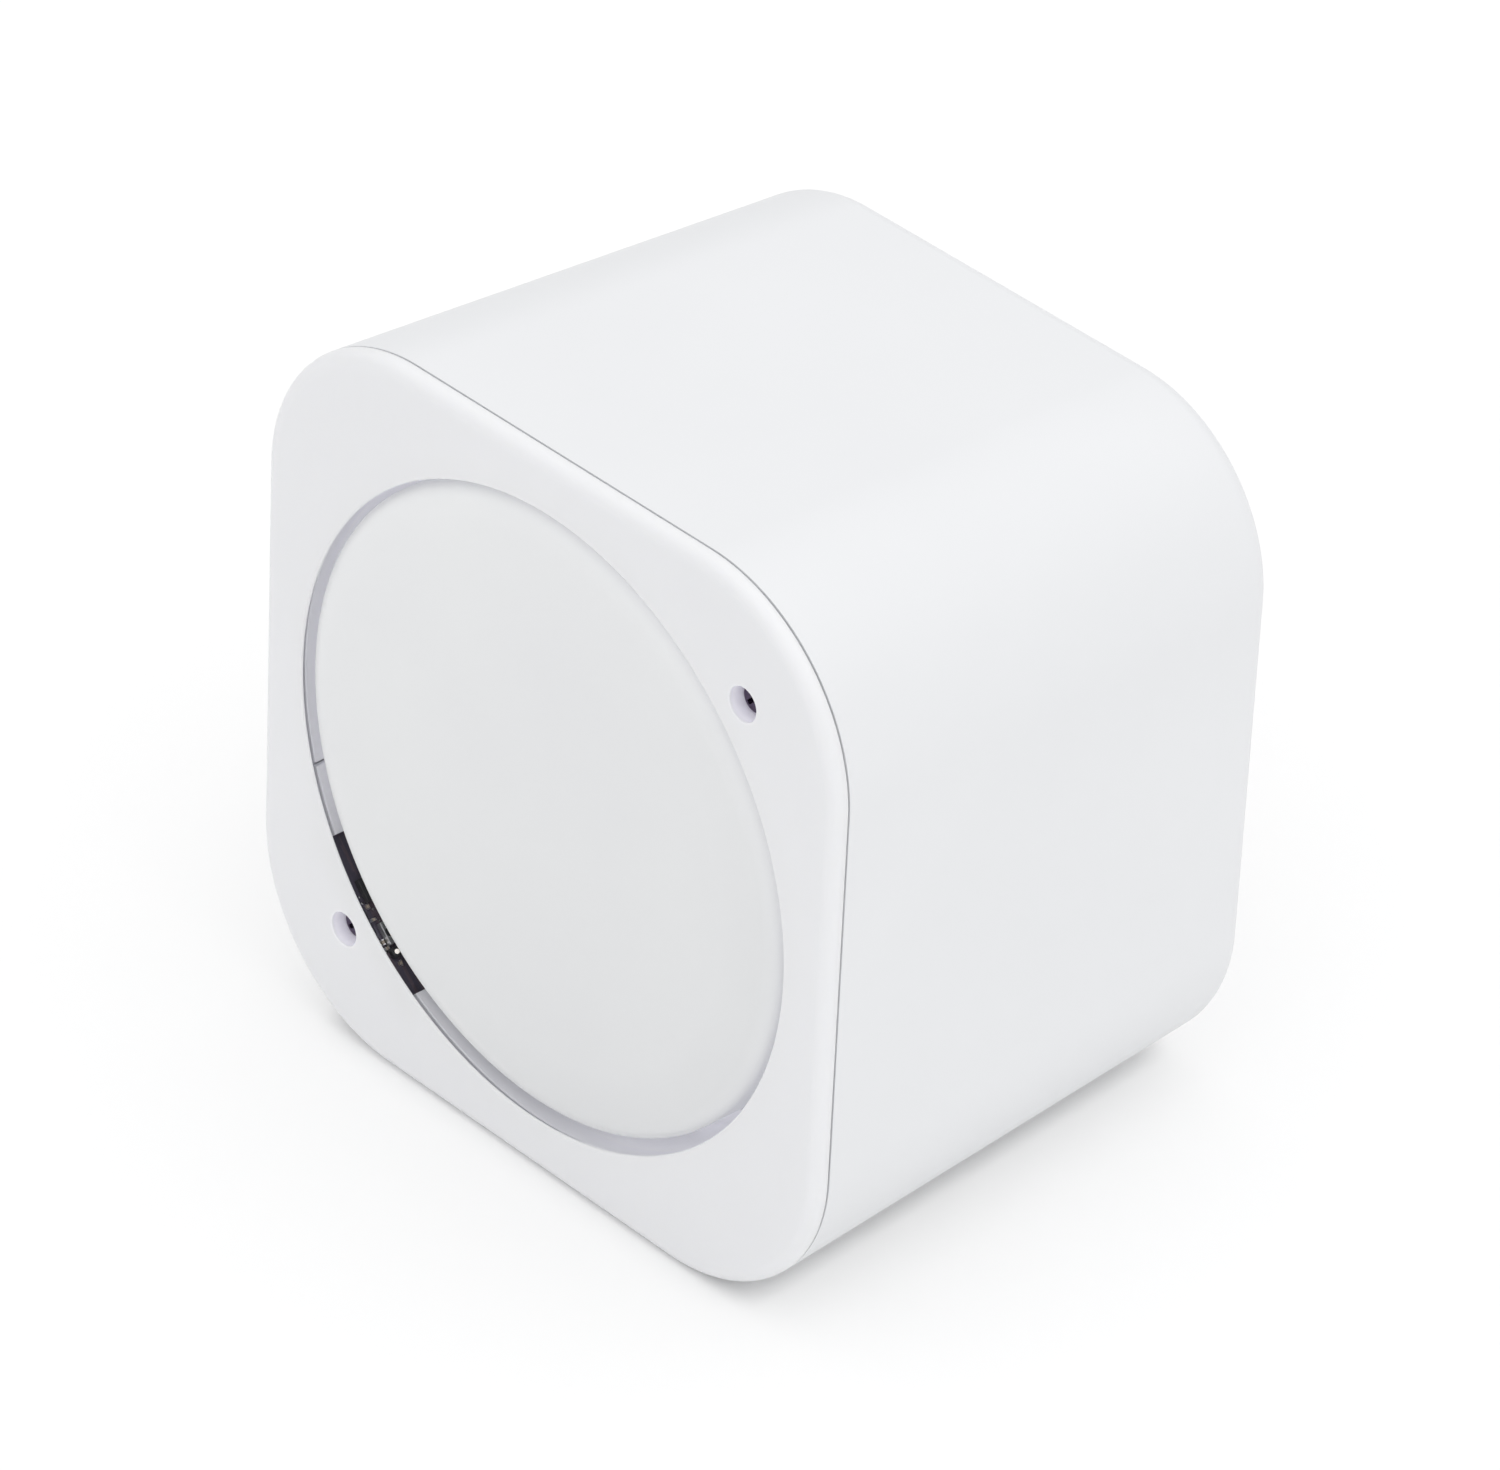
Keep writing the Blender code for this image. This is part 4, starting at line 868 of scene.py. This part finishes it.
def screw_sizes(node):
    """A CAD screw's axis, the way its head faces (1 is up), its seat, and its head's and shank's sizes."""
    points = [BENCH.inverted() @ vert.co for vert in frame["nodes"][node].data.vertices]
    x, y, z = ([point[axis] for point in points] for axis in range(3))
    at = ((min(x) + max(x)) / 2, (min(y) + max(y)) / 2)
    head = (max(x) - min(x)) / 2
    across = [math.dist(point[:2], at) for point in points]
    rim = [point.z for point, radius in zip(points, across) if radius > head * 0.95]
    down = max(z) - max(rim) < min(rim) - min(z)
    sign, seat, top, tip = (1, min(rim), max(z), min(z)) if down else (-1, max(rim), min(z), max(z))
    shank = max(radius for point, radius in zip(points, across) if (point.z - seat) * sign < -SEAT)
    return at, sign, seat, head, abs(top - seat), shank, abs(tip - seat)


def screw(node, raised=0.0):
    """Redoes a screw with a round crown, raised a little, a cross slot and thread rings."""
    at, sign, seat, head, height, shank, length = screw_sizes(node)
    crown, edge = height + raised, 0.1 * MM
    round_off = crown * 0.25
    profile = [(0, crown)]
    profile += arc((head - round_off, crown - round_off), (round_off, round_off), 90, 0, 6)
    profile += [(head, edge), (head - edge, 0), (shank * 0.9, 0)]
    for ring in range(int(length / THREAD_PITCH) - 2):
        rise = -(ring + 0.5) * THREAD_PITCH
        root, ridge = rise - THREAD_PITCH * 0.3, rise - THREAD_PITCH * 0.5
        profile += [(shank * 0.8, rise), (shank * 0.8, root), (shank, ridge)]
    profile += [(shank * 0.7, THREAD_PITCH - length), (0, -length)]
    turned = swept([(radius, seat + sign * rise) for radius, rise in profile], at, SMALL_STEPS)
    made = solid(f"{node}_fine", turned)
    for turn in (0, 1):
        cross = bmesh.new()
        size = (head * 1.35, head * 0.30, CROSS_DEPTH * 2)
        add_block(cross, size, (*at, seat + sign * crown), math.pi / 4 + turn * math.pi / 2, size[1] * 0.3)
        combine(made, "DIFFERENCE", cross)
    stand_for(made, node)


def screws():
    for node in frame["nodes"]:
        if "_screw_" in node:
            screw(node, RAISED_HEAD if node.startswith("bezel") else 0.0)


# Disc, ring and sensor board


def front_disc():
    """The round cover: flat face that rolls softly over its edge into the skirt."""
    across, deep = DISC_ROLL
    inner = DISC_RADIUS - DISC_WALL
    ceiling, edge = DEPTH - DISC_WALL, DEPTH - DISC_DEPTH
    profile = [(0, DEPTH), (DISC_RADIUS * 0.5, DEPTH)]
    profile += arc((DISC_RADIUS - across, DEPTH - deep), DISC_ROLL, 90, 0, 24)
    profile += [(DISC_RADIUS, edge), (0, edge)]
    disc = solid("front_disc_fine", swept(profile, DISC_SPOT))
    profile = [(0, ceiling)]
    fillet = 1.2 * MM
    profile += arc((inner - fillet, ceiling - fillet), (fillet, fillet), 90, 0, 8)
    profile += [(inner, edge - MM), (0, edge - MM)]
    combine(disc, "DIFFERENCE", swept(profile))
    stand_for(disc, "front_disc")


def inner_ring():
    """The wall round the disc, with its flange, the sensors' window, a clip slot and air slots."""
    flange_top = RING_BOTTOM + FLANGE
    edge, fillet = 0.08 * MM, 0.5 * MM
    profile = [(RING_OUTER - edge, RING_TOP), (RING_OUTER, RING_TOP - edge), (RING_OUTER, RING_BOTTOM)]
    profile += [(FLANGE_INNER, RING_BOTTOM), (FLANGE_INNER, flange_top)]
    profile += arc((RING_INNER - fillet, flange_top + fillet), (fillet, fillet), 270, 360, 5)
    profile += [(RING_INNER, RING_TOP - edge), (RING_INNER + edge, RING_TOP)]
    ring = solid("inner_ring_fine", swept(profile, closed=True))
    combine(ring, "DIFFERENCE", ring_window())
    combine(ring, "DIFFERENCE", ring_slots())
    stand_for(ring, "inner_ring", "ring_wall_painted_light")


def ring_window():
    radius = (RING_INNER + RING_OUTER) / 2
    width = 2 * radius * math.sin(WINDOW_SPAN / 2)
    low = RING_TOP - WINDOW_DEPTH
    centre = (*on_circle(radius, WINDOW_ANGLE), (DEPTH + low) / 2)
    bm = bmesh.new()
    add_block(bm, (6 * MM, width, DEPTH - low), centre, WINDOW_ANGLE)
    return bm


def ring_slots():
    """Slots for a clip and for air, and the carrier screws' holes."""
    bm = bmesh.new()
    radius = (RING_INNER + RING_OUTER) / 2
    low = RING_TOP - 3 * MM
    centre = (*on_circle(radius, CLIP_SLOT_ANGLE), (DEPTH + low) / 2)
    add_block(bm, (4 * MM, CLIP_SLOT_WIDTH, DEPTH - low), centre, CLIP_SLOT_ANGLE)
    middle = RING_BOTTOM + FLANGE / 2
    for number in range(AIR_SLOTS):
        angle = (number + 0.5) * 2 * math.pi / AIR_SLOTS
        centre = (*on_circle(AIR_SLOT_DISTANCE, angle), middle)
        add_block(bm, (*AIR_SLOT, FLANGE + 2 * MM), centre, angle, AIR_SLOT[0] * 0.45, 8)
    for number in range(CARRIER_SCREWS):
        at = on_circle(CARRIER_SCREW_DISTANCE, math.pi / 2 + number * 2 * math.pi / CARRIER_SCREWS)
        add_rod(bm, CARRIER_HOLE, middle + FLANGE, middle - FLANGE, at, 32)
    return bm


def at_window(along, distance):
    """A point beside the ring's window: along its wall, and at a distance from the hub's axis."""
    out = Vector(on_circle(1, WINDOW_ANGLE))
    side = Vector((-out.y, out.x))
    return out * distance + side * along


def sensor_board():
    long, thick, deep = SENSOR_BOARD
    centre = (*at_window(0, SENSOR_BOARD_DISTANCE + thick / 2), SENSOR_BOARD_BOTTOM + deep / 2)
    bm = bmesh.new()
    add_block(bm, (thick, long, deep), centre, WINDOW_ANGLE, 0.05 * MM)
    board = solid("air_sensor_board_fine", bm)
    soften(board, 0.04 * MM, 2, 60)
    stand_for(board, "air_sensor_board")


def chip(bm, along, width, rise, low, high, lift=SEAT, corner=0.05 * MM):
    """A small part on the sensor board's face, standing rise proud of it."""
    at = at_window(along, SENSOR_BOARD_DISTANCE - lift - rise / 2)
    add_block(bm, (rise, width, high - low), (*at, (low + high) / 2), WINDOW_ANGLE, corner)


def stud(bm, along, z, radius, start, end, steps=24):
    """A round stub that stands off the sensor board's face, from start to end above it."""
    outlines = []
    out = Vector((*on_circle(1, WINDOW_ANGLE), 0))
    side, up = Vector((-out.y, out.x, 0)), Vector((0, 0, 1))
    rim = min(radius, end - start) * 0.4
    levels = ((start, 0.0), (end - rim, 0.0), (end - rim * 0.3, rim * 0.3), (end, rim))
    for rise, inset in levels:
        centre = out * (SENSOR_BOARD_DISTANCE - rise) + side * along + up * z
        outlines.append([
            centre + (side * math.cos(turn) + up * math.sin(turn)) * (radius - inset)
            for turn in (2 * math.pi * i / steps for i in range(steps))
        ])
    loft(bm, outlines)


SENSORS = {
    # along the wall, width, height off the board, bottom, top
    "gas_sensor": (2.1 * MM, 2.4 * MM, 0.80 * MM, 55.6 * MM, 58.2 * MM),
    "humidity_sensor": (-2.6 * MM, 2.4 * MM, 0.75 * MM, 55.8 * MM, 58.2 * MM),
    "light_sensor": (4.15 * MM, 1.0 * MM, 0.60 * MM, 57.3 * MM, 58.3 * MM),
}
CAPACITORS = (
    # along the wall, height, length along, height across
    (-1.05 * MM, 58.15 * MM, 0.6 * MM, 0.3 * MM),
    (0.35 * MM, 58.25 * MM, 0.3 * MM, 0.6 * MM),
    (2.75 * MM, 58.45 * MM, 0.6 * MM, 0.3 * MM),
    (3.45 * MM, 58.35 * MM, 0.3 * MM, 0.6 * MM),
    (5.3 * MM, 57.7 * MM, 0.6 * MM, 0.3 * MM),
)
PADS = (
    (-2.2 * MM, 58.35 * MM), (-1.55 * MM, 58.4 * MM), (-0.6 * MM, 57.6 * MM), (0.7 * MM, 57.6 * MM),
    (3.0 * MM, 58.0 * MM), (3.75 * MM, 58.45 * MM),
)
HUMIDITY_DOTS = (
    # along from the sensor's middle, below its top, radius
    (0.57 * MM, 1.08 * MM, 0.13 * MM),
    (0.60 * MM, 0.71 * MM, 0.09 * MM),
)


def add_capacitor(middles, ends, along, z, long, tall):
    """A capacitor on the sensor board, its longer side lying along the wall or upright."""
    rise, grow = 0.3 * MM, 0.02 * MM
    chip(middles, along, long, rise, z - tall / 2, z + tall / 2, 0)
    for sign in (1, -1):
        if long > tall:
            place, size = along + sign * long * 0.4, long * 0.22
            low, high = z - tall / 2 - grow, z + tall / 2 + grow
        else:
            place, size = along, long + 2 * grow
            low, high = sorted((z + sign * tall * 0.52, z + sign * tall * 0.3))
        chip(ends, place, size, rise + grow, low, high, 0, 0.02 * MM)


def sensor_parts():
    """The sensors, and the small parts round them that show between the disc and the ring."""
    for name, sizes in SENSORS.items():
        bm = bmesh.new()
        chip(bm, *sizes)
        part = solid(f"{name}_fine", bm)
        soften(part, 0.06 * MM, 3, 50)
        stand_for(part, name, "dark_plastic" if name == "light_sensor" else None)
    ends, middles, pads, vents, lens = (bmesh.new() for _ in range(5))
    for along, z, long, tall in CAPACITORS:
        add_capacitor(middles, ends, along, z, long, tall)
    for along, z in PADS:
        stud(pads, along, z, 0.14 * MM, -0.02 * MM, 0.06 * MM)
    at, _, rise, _, top = SENSORS["gas_sensor"]
    stud(vents, at, top - 0.50 * MM, 0.46 * MM, SEAT + rise - 0.05 * MM, SEAT + rise + 0.04 * MM, 32)
    at, _, rise, _, top = SENSORS["humidity_sensor"]
    for along, z, radius in HUMIDITY_DOTS:
        stud(lens, at + along, top - z, radius, SEAT + rise - 0.03 * MM, SEAT + rise + 0.03 * MM)
    at, _, rise, low, high = SENSORS["light_sensor"]
    stud(lens, at, (low + high) / 2, 0.25 * MM, SEAT + rise - 0.03 * MM, SEAT + rise + 0.14 * MM)
    for name, bm, finish in (
        ("sensor_capacitors", middles, "ceramic"),
        ("sensor_capacitor_ends", ends, "solder"),
        ("sensor_pads", pads, "solder"),
        ("gas_sensor_vent", vents, "dark_plastic"),
        ("sensor_lenses", lens, "lens_painted_glint"),
    ):
        show(solid(name, bm), finish, "hub")


# Rear connections


def pair_button():
    """Round cap with a soft rim and a shallow dish, its collar and its stem."""
    cap, collar, stem = 4.3 * MM, 5.6 * MM, 1.8 * MM
    crown, edge = -0.5 * MM, 0.5 * MM
    collar_bottom = REAR_WALL + GAP
    collar_top = collar_bottom + 1.0 * MM
    switch_body, switch_plunger = 3.5 * MM, 1.2 * MM
    stem_end = MAIN_BOARD_BOTTOM - GAP - switch_body - switch_plunger - SEAT
    profile = [(0, stem_end), (stem, stem_end), (stem, collar_top)]
    profile += [(collar, collar_top), (collar, collar_bottom), (cap, collar_bottom)]
    profile += arc((cap - edge, crown + edge), (edge, edge), 0, -90, 8)
    profile += [(cap - 1.0 * MM, crown), (2.2 * MM, crown + 0.12 * MM), (1.0 * MM, crown + 0.17 * MM)]
    profile.append((0, crown + 0.18 * MM))
    stand_for(solid("pair_button_fine", swept(profile, PAIR_AT, 96)), "pair_button")


def ethernet_jack():
    """Network socket whose mouth faces the rear, with a stepped keyway for the plug's latch."""
    top = MAIN_BOARD_BOTTOM - GAP
    x, y = ETHERNET_AT
    half_x, half_y = ETHERNET_PLUG[0] / 2, ETHERNET_PLUG[1] / 2
    bm = bmesh.new()
    add_block(bm, (*ETHERNET_SIZE, top - SOCKET_FACE), (x, y, (top + SOCKET_FACE) / 2), corner=0.4 * MM)
    jack = solid("ethernet_jack_fine", bm)
    mouth = bmesh.new()
    add_mouth_cutter(mouth, half_x, half_y, 0.2 * MM, ETHERNET_AT, -1 * MM, ETHERNET_DEPTH, 0.2 * MM)
    combine(jack, "DIFFERENCE", mouth)
    keyway = bmesh.new()
    size = (*KEYWAY, ETHERNET_DEPTH - 1 * MM)
    add_block(keyway, size, (x, y - half_y, (ETHERNET_DEPTH - 3 * MM) / 2), corner=0.1 * MM)
    combine(jack, "DIFFERENCE", keyway)
    soften(jack, 0.12 * MM, 2, 60)
    stand_for(jack, "ethernet_jack")


def power_jack():
    """Barrel socket: square body, round nose through the rear wall, deep bore."""
    nose, bore = 4.3 * MM, 2.9 * MM
    nose_top, top = 6.0 * MM, MAIN_BOARD_BOTTOM - GAP
    x, y = POWER_AT
    bm = bmesh.new()
    add_block(bm, (*POWER_BODY, top - nose_top), (x, y, (top + nose_top) / 2), corner=0.4 * MM)
    jack = solid("power_jack_fine", bm)
    edge = 0.25 * MM
    profile = [(0, nose_top + MM), (nose, nose_top + MM)]
    profile += arc((nose - edge, SOCKET_FACE + edge), (edge, edge), 0, -90, 5)
    profile.append((0, SOCKET_FACE))
    combine(jack, "UNION", swept(profile, POWER_AT, 96))
    profile = [(0, 12 * MM), (bore, 12 * MM)]
    profile += arc((bore + edge, SOCKET_FACE + edge), (edge, edge), 180, 270, 5)
    profile += [(bore + edge, -1 * MM), (0, -1 * MM)]
    combine(jack, "DIFFERENCE", swept(profile, POWER_AT, 96))
    seat = bmesh.new()
    add_rod(seat, 1.1 * MM, 16 * MM, 11 * MM, POWER_AT, 32)
    combine(jack, "DIFFERENCE", seat)
    stand_for(jack, "power_jack")


def power_pin():
    radius, top, bottom, tip = 1.0 * MM, 15.5 * MM, 2.2 * MM, 0.8 * MM
    profile = [(0, top), (radius, top), (radius, bottom + tip)]
    profile += arc((0, bottom + tip), (radius, tip), 0, -84, 10)
    profile.append((0, bottom))
    stand_for(solid("power_pin_fine", swept(profile, POWER_AT, SMALL_STEPS)), "power_pin")


# Pieces inside


BOARD_CHIPS = (
    # x, y, width, height, thickness, on the board's front side
    (-16.0 * MM, 7.0 * MM, 5.0 * MM, 5.0 * MM, 0.9 * MM, False),
    (3.0 * MM, 5.0 * MM, 4.0 * MM, 3.0 * MM, 1.0 * MM, False),
    (-18.0 * MM, -14.0 * MM, 6.0 * MM, 4.0 * MM, 1.2 * MM, True),
    (-4.0 * MM, -14.0 * MM, 4.0 * MM, 4.0 * MM, 0.9 * MM, True),
)
BOARD_CAPACITORS = {
    # on the board's front side: rows as (x, y, number, pitch)
    False: (
        (-21.0 * MM, 12.0 * MM, 6, 2.2 * MM),
        (-11.5 * MM, 7.0 * MM, 3, 2.4 * MM),
        (0.0 * MM, 9.0 * MM, 5, 2.0 * MM),
        (8.0 * MM, 5.0 * MM, 2, 2.4 * MM),
        (-4.5 * MM, -6.0 * MM, 2, 2.2 * MM),
    ),
    True: (
        (-22.0 * MM, -18.5 * MM, 6, 2.2 * MM),
        (-6.5 * MM, -18.5 * MM, 5, 2.0 * MM),
        (0.5 * MM, -14.0 * MM, 4, 2.2 * MM),
        (-12.0 * MM, -12.5 * MM, 2, 2.4 * MM),
        (4.0 * MM, 18.5 * MM, 6, 2.2 * MM),
    ),
}
CAPACITOR = (1.0 * MM, 0.55 * MM, 0.5 * MM)


def board_parts():
    """Small parts soldered on both sides of the main board."""
    chips, middles, ends = (bmesh.new() for _ in range(3))

    def on_board(bm, x, y, size, front, corner):
        z = MAIN_BOARD_BOTTOM + MAIN_BOARD + size[2] / 2 if front else MAIN_BOARD_BOTTOM - size[2] / 2
        add_block(bm, size, (x, y, z), corner=corner)

    for x, y, width, height, thick, front in BOARD_CHIPS:
        on_board(chips, x, y, (width, height, thick), front, 0.15 * MM)
    long, tall, thick = CAPACITOR
    for front, rows in BOARD_CAPACITORS.items():
        for x, y, count, pitch in rows:
            for number in range(count):
                middle = x + number * pitch
                on_board(middles, middle, y, (tall, long, thick), front, 0.04 * MM)
                for sign in (1, -1):
                    size = (tall + 0.04 * MM, long * 0.25, thick + 0.02 * MM)
                    on_board(ends, middle, y + sign * long * 0.4, size, front, 0.05 * MM)
    for name, bm, finish in (
        ("main_board_chips", chips, "dark_plastic"),
        ("main_board_capacitors", middles, "ceramic"),
        ("main_board_capacitor_ends", ends, "solder"),
    ):
        piece = solid(name, bm)
        soften(piece, 0.05 * MM, 2, 60)
        show(piece, finish, "hub")


EDGE_RADIUS = {
    "dark_plastic": 0.15 * MM, "ring_grey": 0.20 * MM, "clear_acrylic": 0.25 * MM, "white_nylon": 0.12 * MM,
    "green_board": 0.05 * MM, "grey_pad": 0.08 * MM, "magnet": 0.10 * MM, "aluminium": 0.12 * MM,
    "tin": 0.10 * MM, "copper": 0.05 * MM, "brass": 0.04 * MM, "bright_steel": 0.06 * MM,
}


def inner_pieces():
    """Shows each node that has no finer piece yet with its edges rounded as suits its material."""
    for name, node in list(frame["nodes"].items()):
        if node.hide_render:
            continue
        bm = bmesh.new()
        bm.from_mesh(node.data)
        bmesh.ops.transform(bm, matrix=BENCH.inverted(), verts=bm.verts)
        bmesh.ops.remove_doubles(bm, verts=bm.verts, dist=2 * WELD)
        bmesh.ops.dissolve_limit(bm, angle_limit=math.radians(1), verts=bm.verts, edges=bm.edges)
        piece = solid(f"{name}_fine", bm)
        slot = SLOT_OF[name]
        if slot in EDGE_RADIUS:
            soften(piece, EDGE_RADIUS[slot], 2, 45)
        stand_for(piece, name)
        if "cable" in name:
            piece.data.set_sharp_from_angle(angle=math.radians(75))


# Floor, light and camera


def floor():
    """White studio floor, lit a little from below like a light table so that it reads as pure white.

    To the camera its shadows are faded, except close to where the hub touches it.
    """
    bm = bmesh.new()
    bmesh.ops.create_grid(bm, x_segments=8, y_segments=8, size=3.0)
    plane = solid("studio_floor", bm)
    finish = Finish("studio_floor")
    finish.colour(finish.blend(finish.noise(0.4), (0.90, 0.90, 0.90), (0.91, 0.91, 0.91)))
    finish.set(Roughness=0.9, Specular_IOR_Level=0.0)
    finish.set(Emission_Color=(1, 1, 1, 1), Emission_Strength=FLOOR_GLOW)
    crowded = finish.node("ShaderNodeAmbientOcclusion", samples=16)
    crowded.inputs["Distance"].default_value = CONTACT_REACH
    fade = finish.remap(crowded.outputs["AO"], 0.0, SHADOW_FADE, 0.5, 1.0)
    seen = finish.combine("MULTIPLY", finish.node("ShaderNodeLightPath").outputs["Is Camera Ray"], fade)
    blank, mix = finish.node("ShaderNodeEmission"), finish.node("ShaderNodeMixShader")
    finish.link(seen, mix.inputs["Fac"])
    finish.link(finish.shader.outputs["BSDF"], mix.inputs[1])
    finish.link(blank.outputs["Emission"], mix.inputs[2])
    finish.link(mix.outputs["Shader"], finish.tree.nodes["Material Output"].inputs["Surface"])
    plane.data.materials.append(finish.material)


def toward(azimuth, elevation):
    """The direction of something seen from the hub: azimuth 0 is in front of it, 90 at its right."""
    azimuth, elevation = math.radians(azimuth), math.radians(elevation)
    level = math.cos(elevation)
    return Vector((math.sin(azimuth) * level, -math.cos(azimuth) * level, math.sin(elevation)))


def studio_light():
    """White light from all round, with large soft lights faded into it. The camera sees plain white."""
    world = bpy.data.worlds.new("studio")
    bpy.context.scene.world = world
    world.use_nodes = True
    tree = world.node_tree
    place = tree.nodes.new("ShaderNodeTexCoord").outputs["Generated"]
    total = DOME_LIGHT
    for azimuth, elevation, focus, strength in SOFT_LIGHTS:
        facing = tree.nodes.new("ShaderNodeVectorMath")
        facing.operation = "DOT_PRODUCT"
        facing.inputs[1].default_value = toward(azimuth, elevation)
        tree.links.new(place, facing.inputs[0])
        lobe = maths(tree, "POWER", maths(tree, "MAXIMUM", facing.outputs["Value"], 0.0), focus)
        total = maths(tree, "ADD", maths(tree, "MULTIPLY", lobe, strength), total)
    seen = tree.nodes.new("ShaderNodeLightPath").outputs["Is Camera Ray"]
    hidden = maths(tree, "SUBTRACT", 1.0, seen)
    total = maths(tree, "ADD", maths(tree, "MULTIPLY", total, hidden), seen)
    background = tree.nodes["Background"]
    background.inputs["Color"].default_value = (1, 1, 1, 1)
    tree.links.new(total, background.inputs["Strength"])


def camera():
    data = bpy.data.cameras.new("camera")
    data.lens = CAMERA_LENS
    data.clip_start, data.clip_end = 0.05, 20.0
    obj = bpy.data.objects.new("camera", data)
    bpy.context.scene.collection.objects.link(obj)
    back = toward(CAMERA_AZIMUTH, CAMERA_ELEVATION)
    right = toward(CAMERA_AZIMUTH + 90, 0)
    turn = Matrix((right, back.cross(right), back)).transposed() @ Matrix.Rotation(CAMERA_ROLL, 3, "Z")
    obj.matrix_world = Matrix.LocRotScale(CAMERA_TARGET + back * CAMERA_DISTANCE, turn, None)
    bpy.context.scene.camera = obj


def build():
    housing_shell()
    front_bezel()
    screws()
    front_disc()
    inner_ring()
    sensor_board()
    sensor_parts()
    pair_button()
    ethernet_jack()
    power_jack()
    power_pin()
    board_parts()
    inner_pieces()
    floor()
    studio_light()
    camera()
    bpy.context.scene.view_settings.view_transform = "Standard"


build()
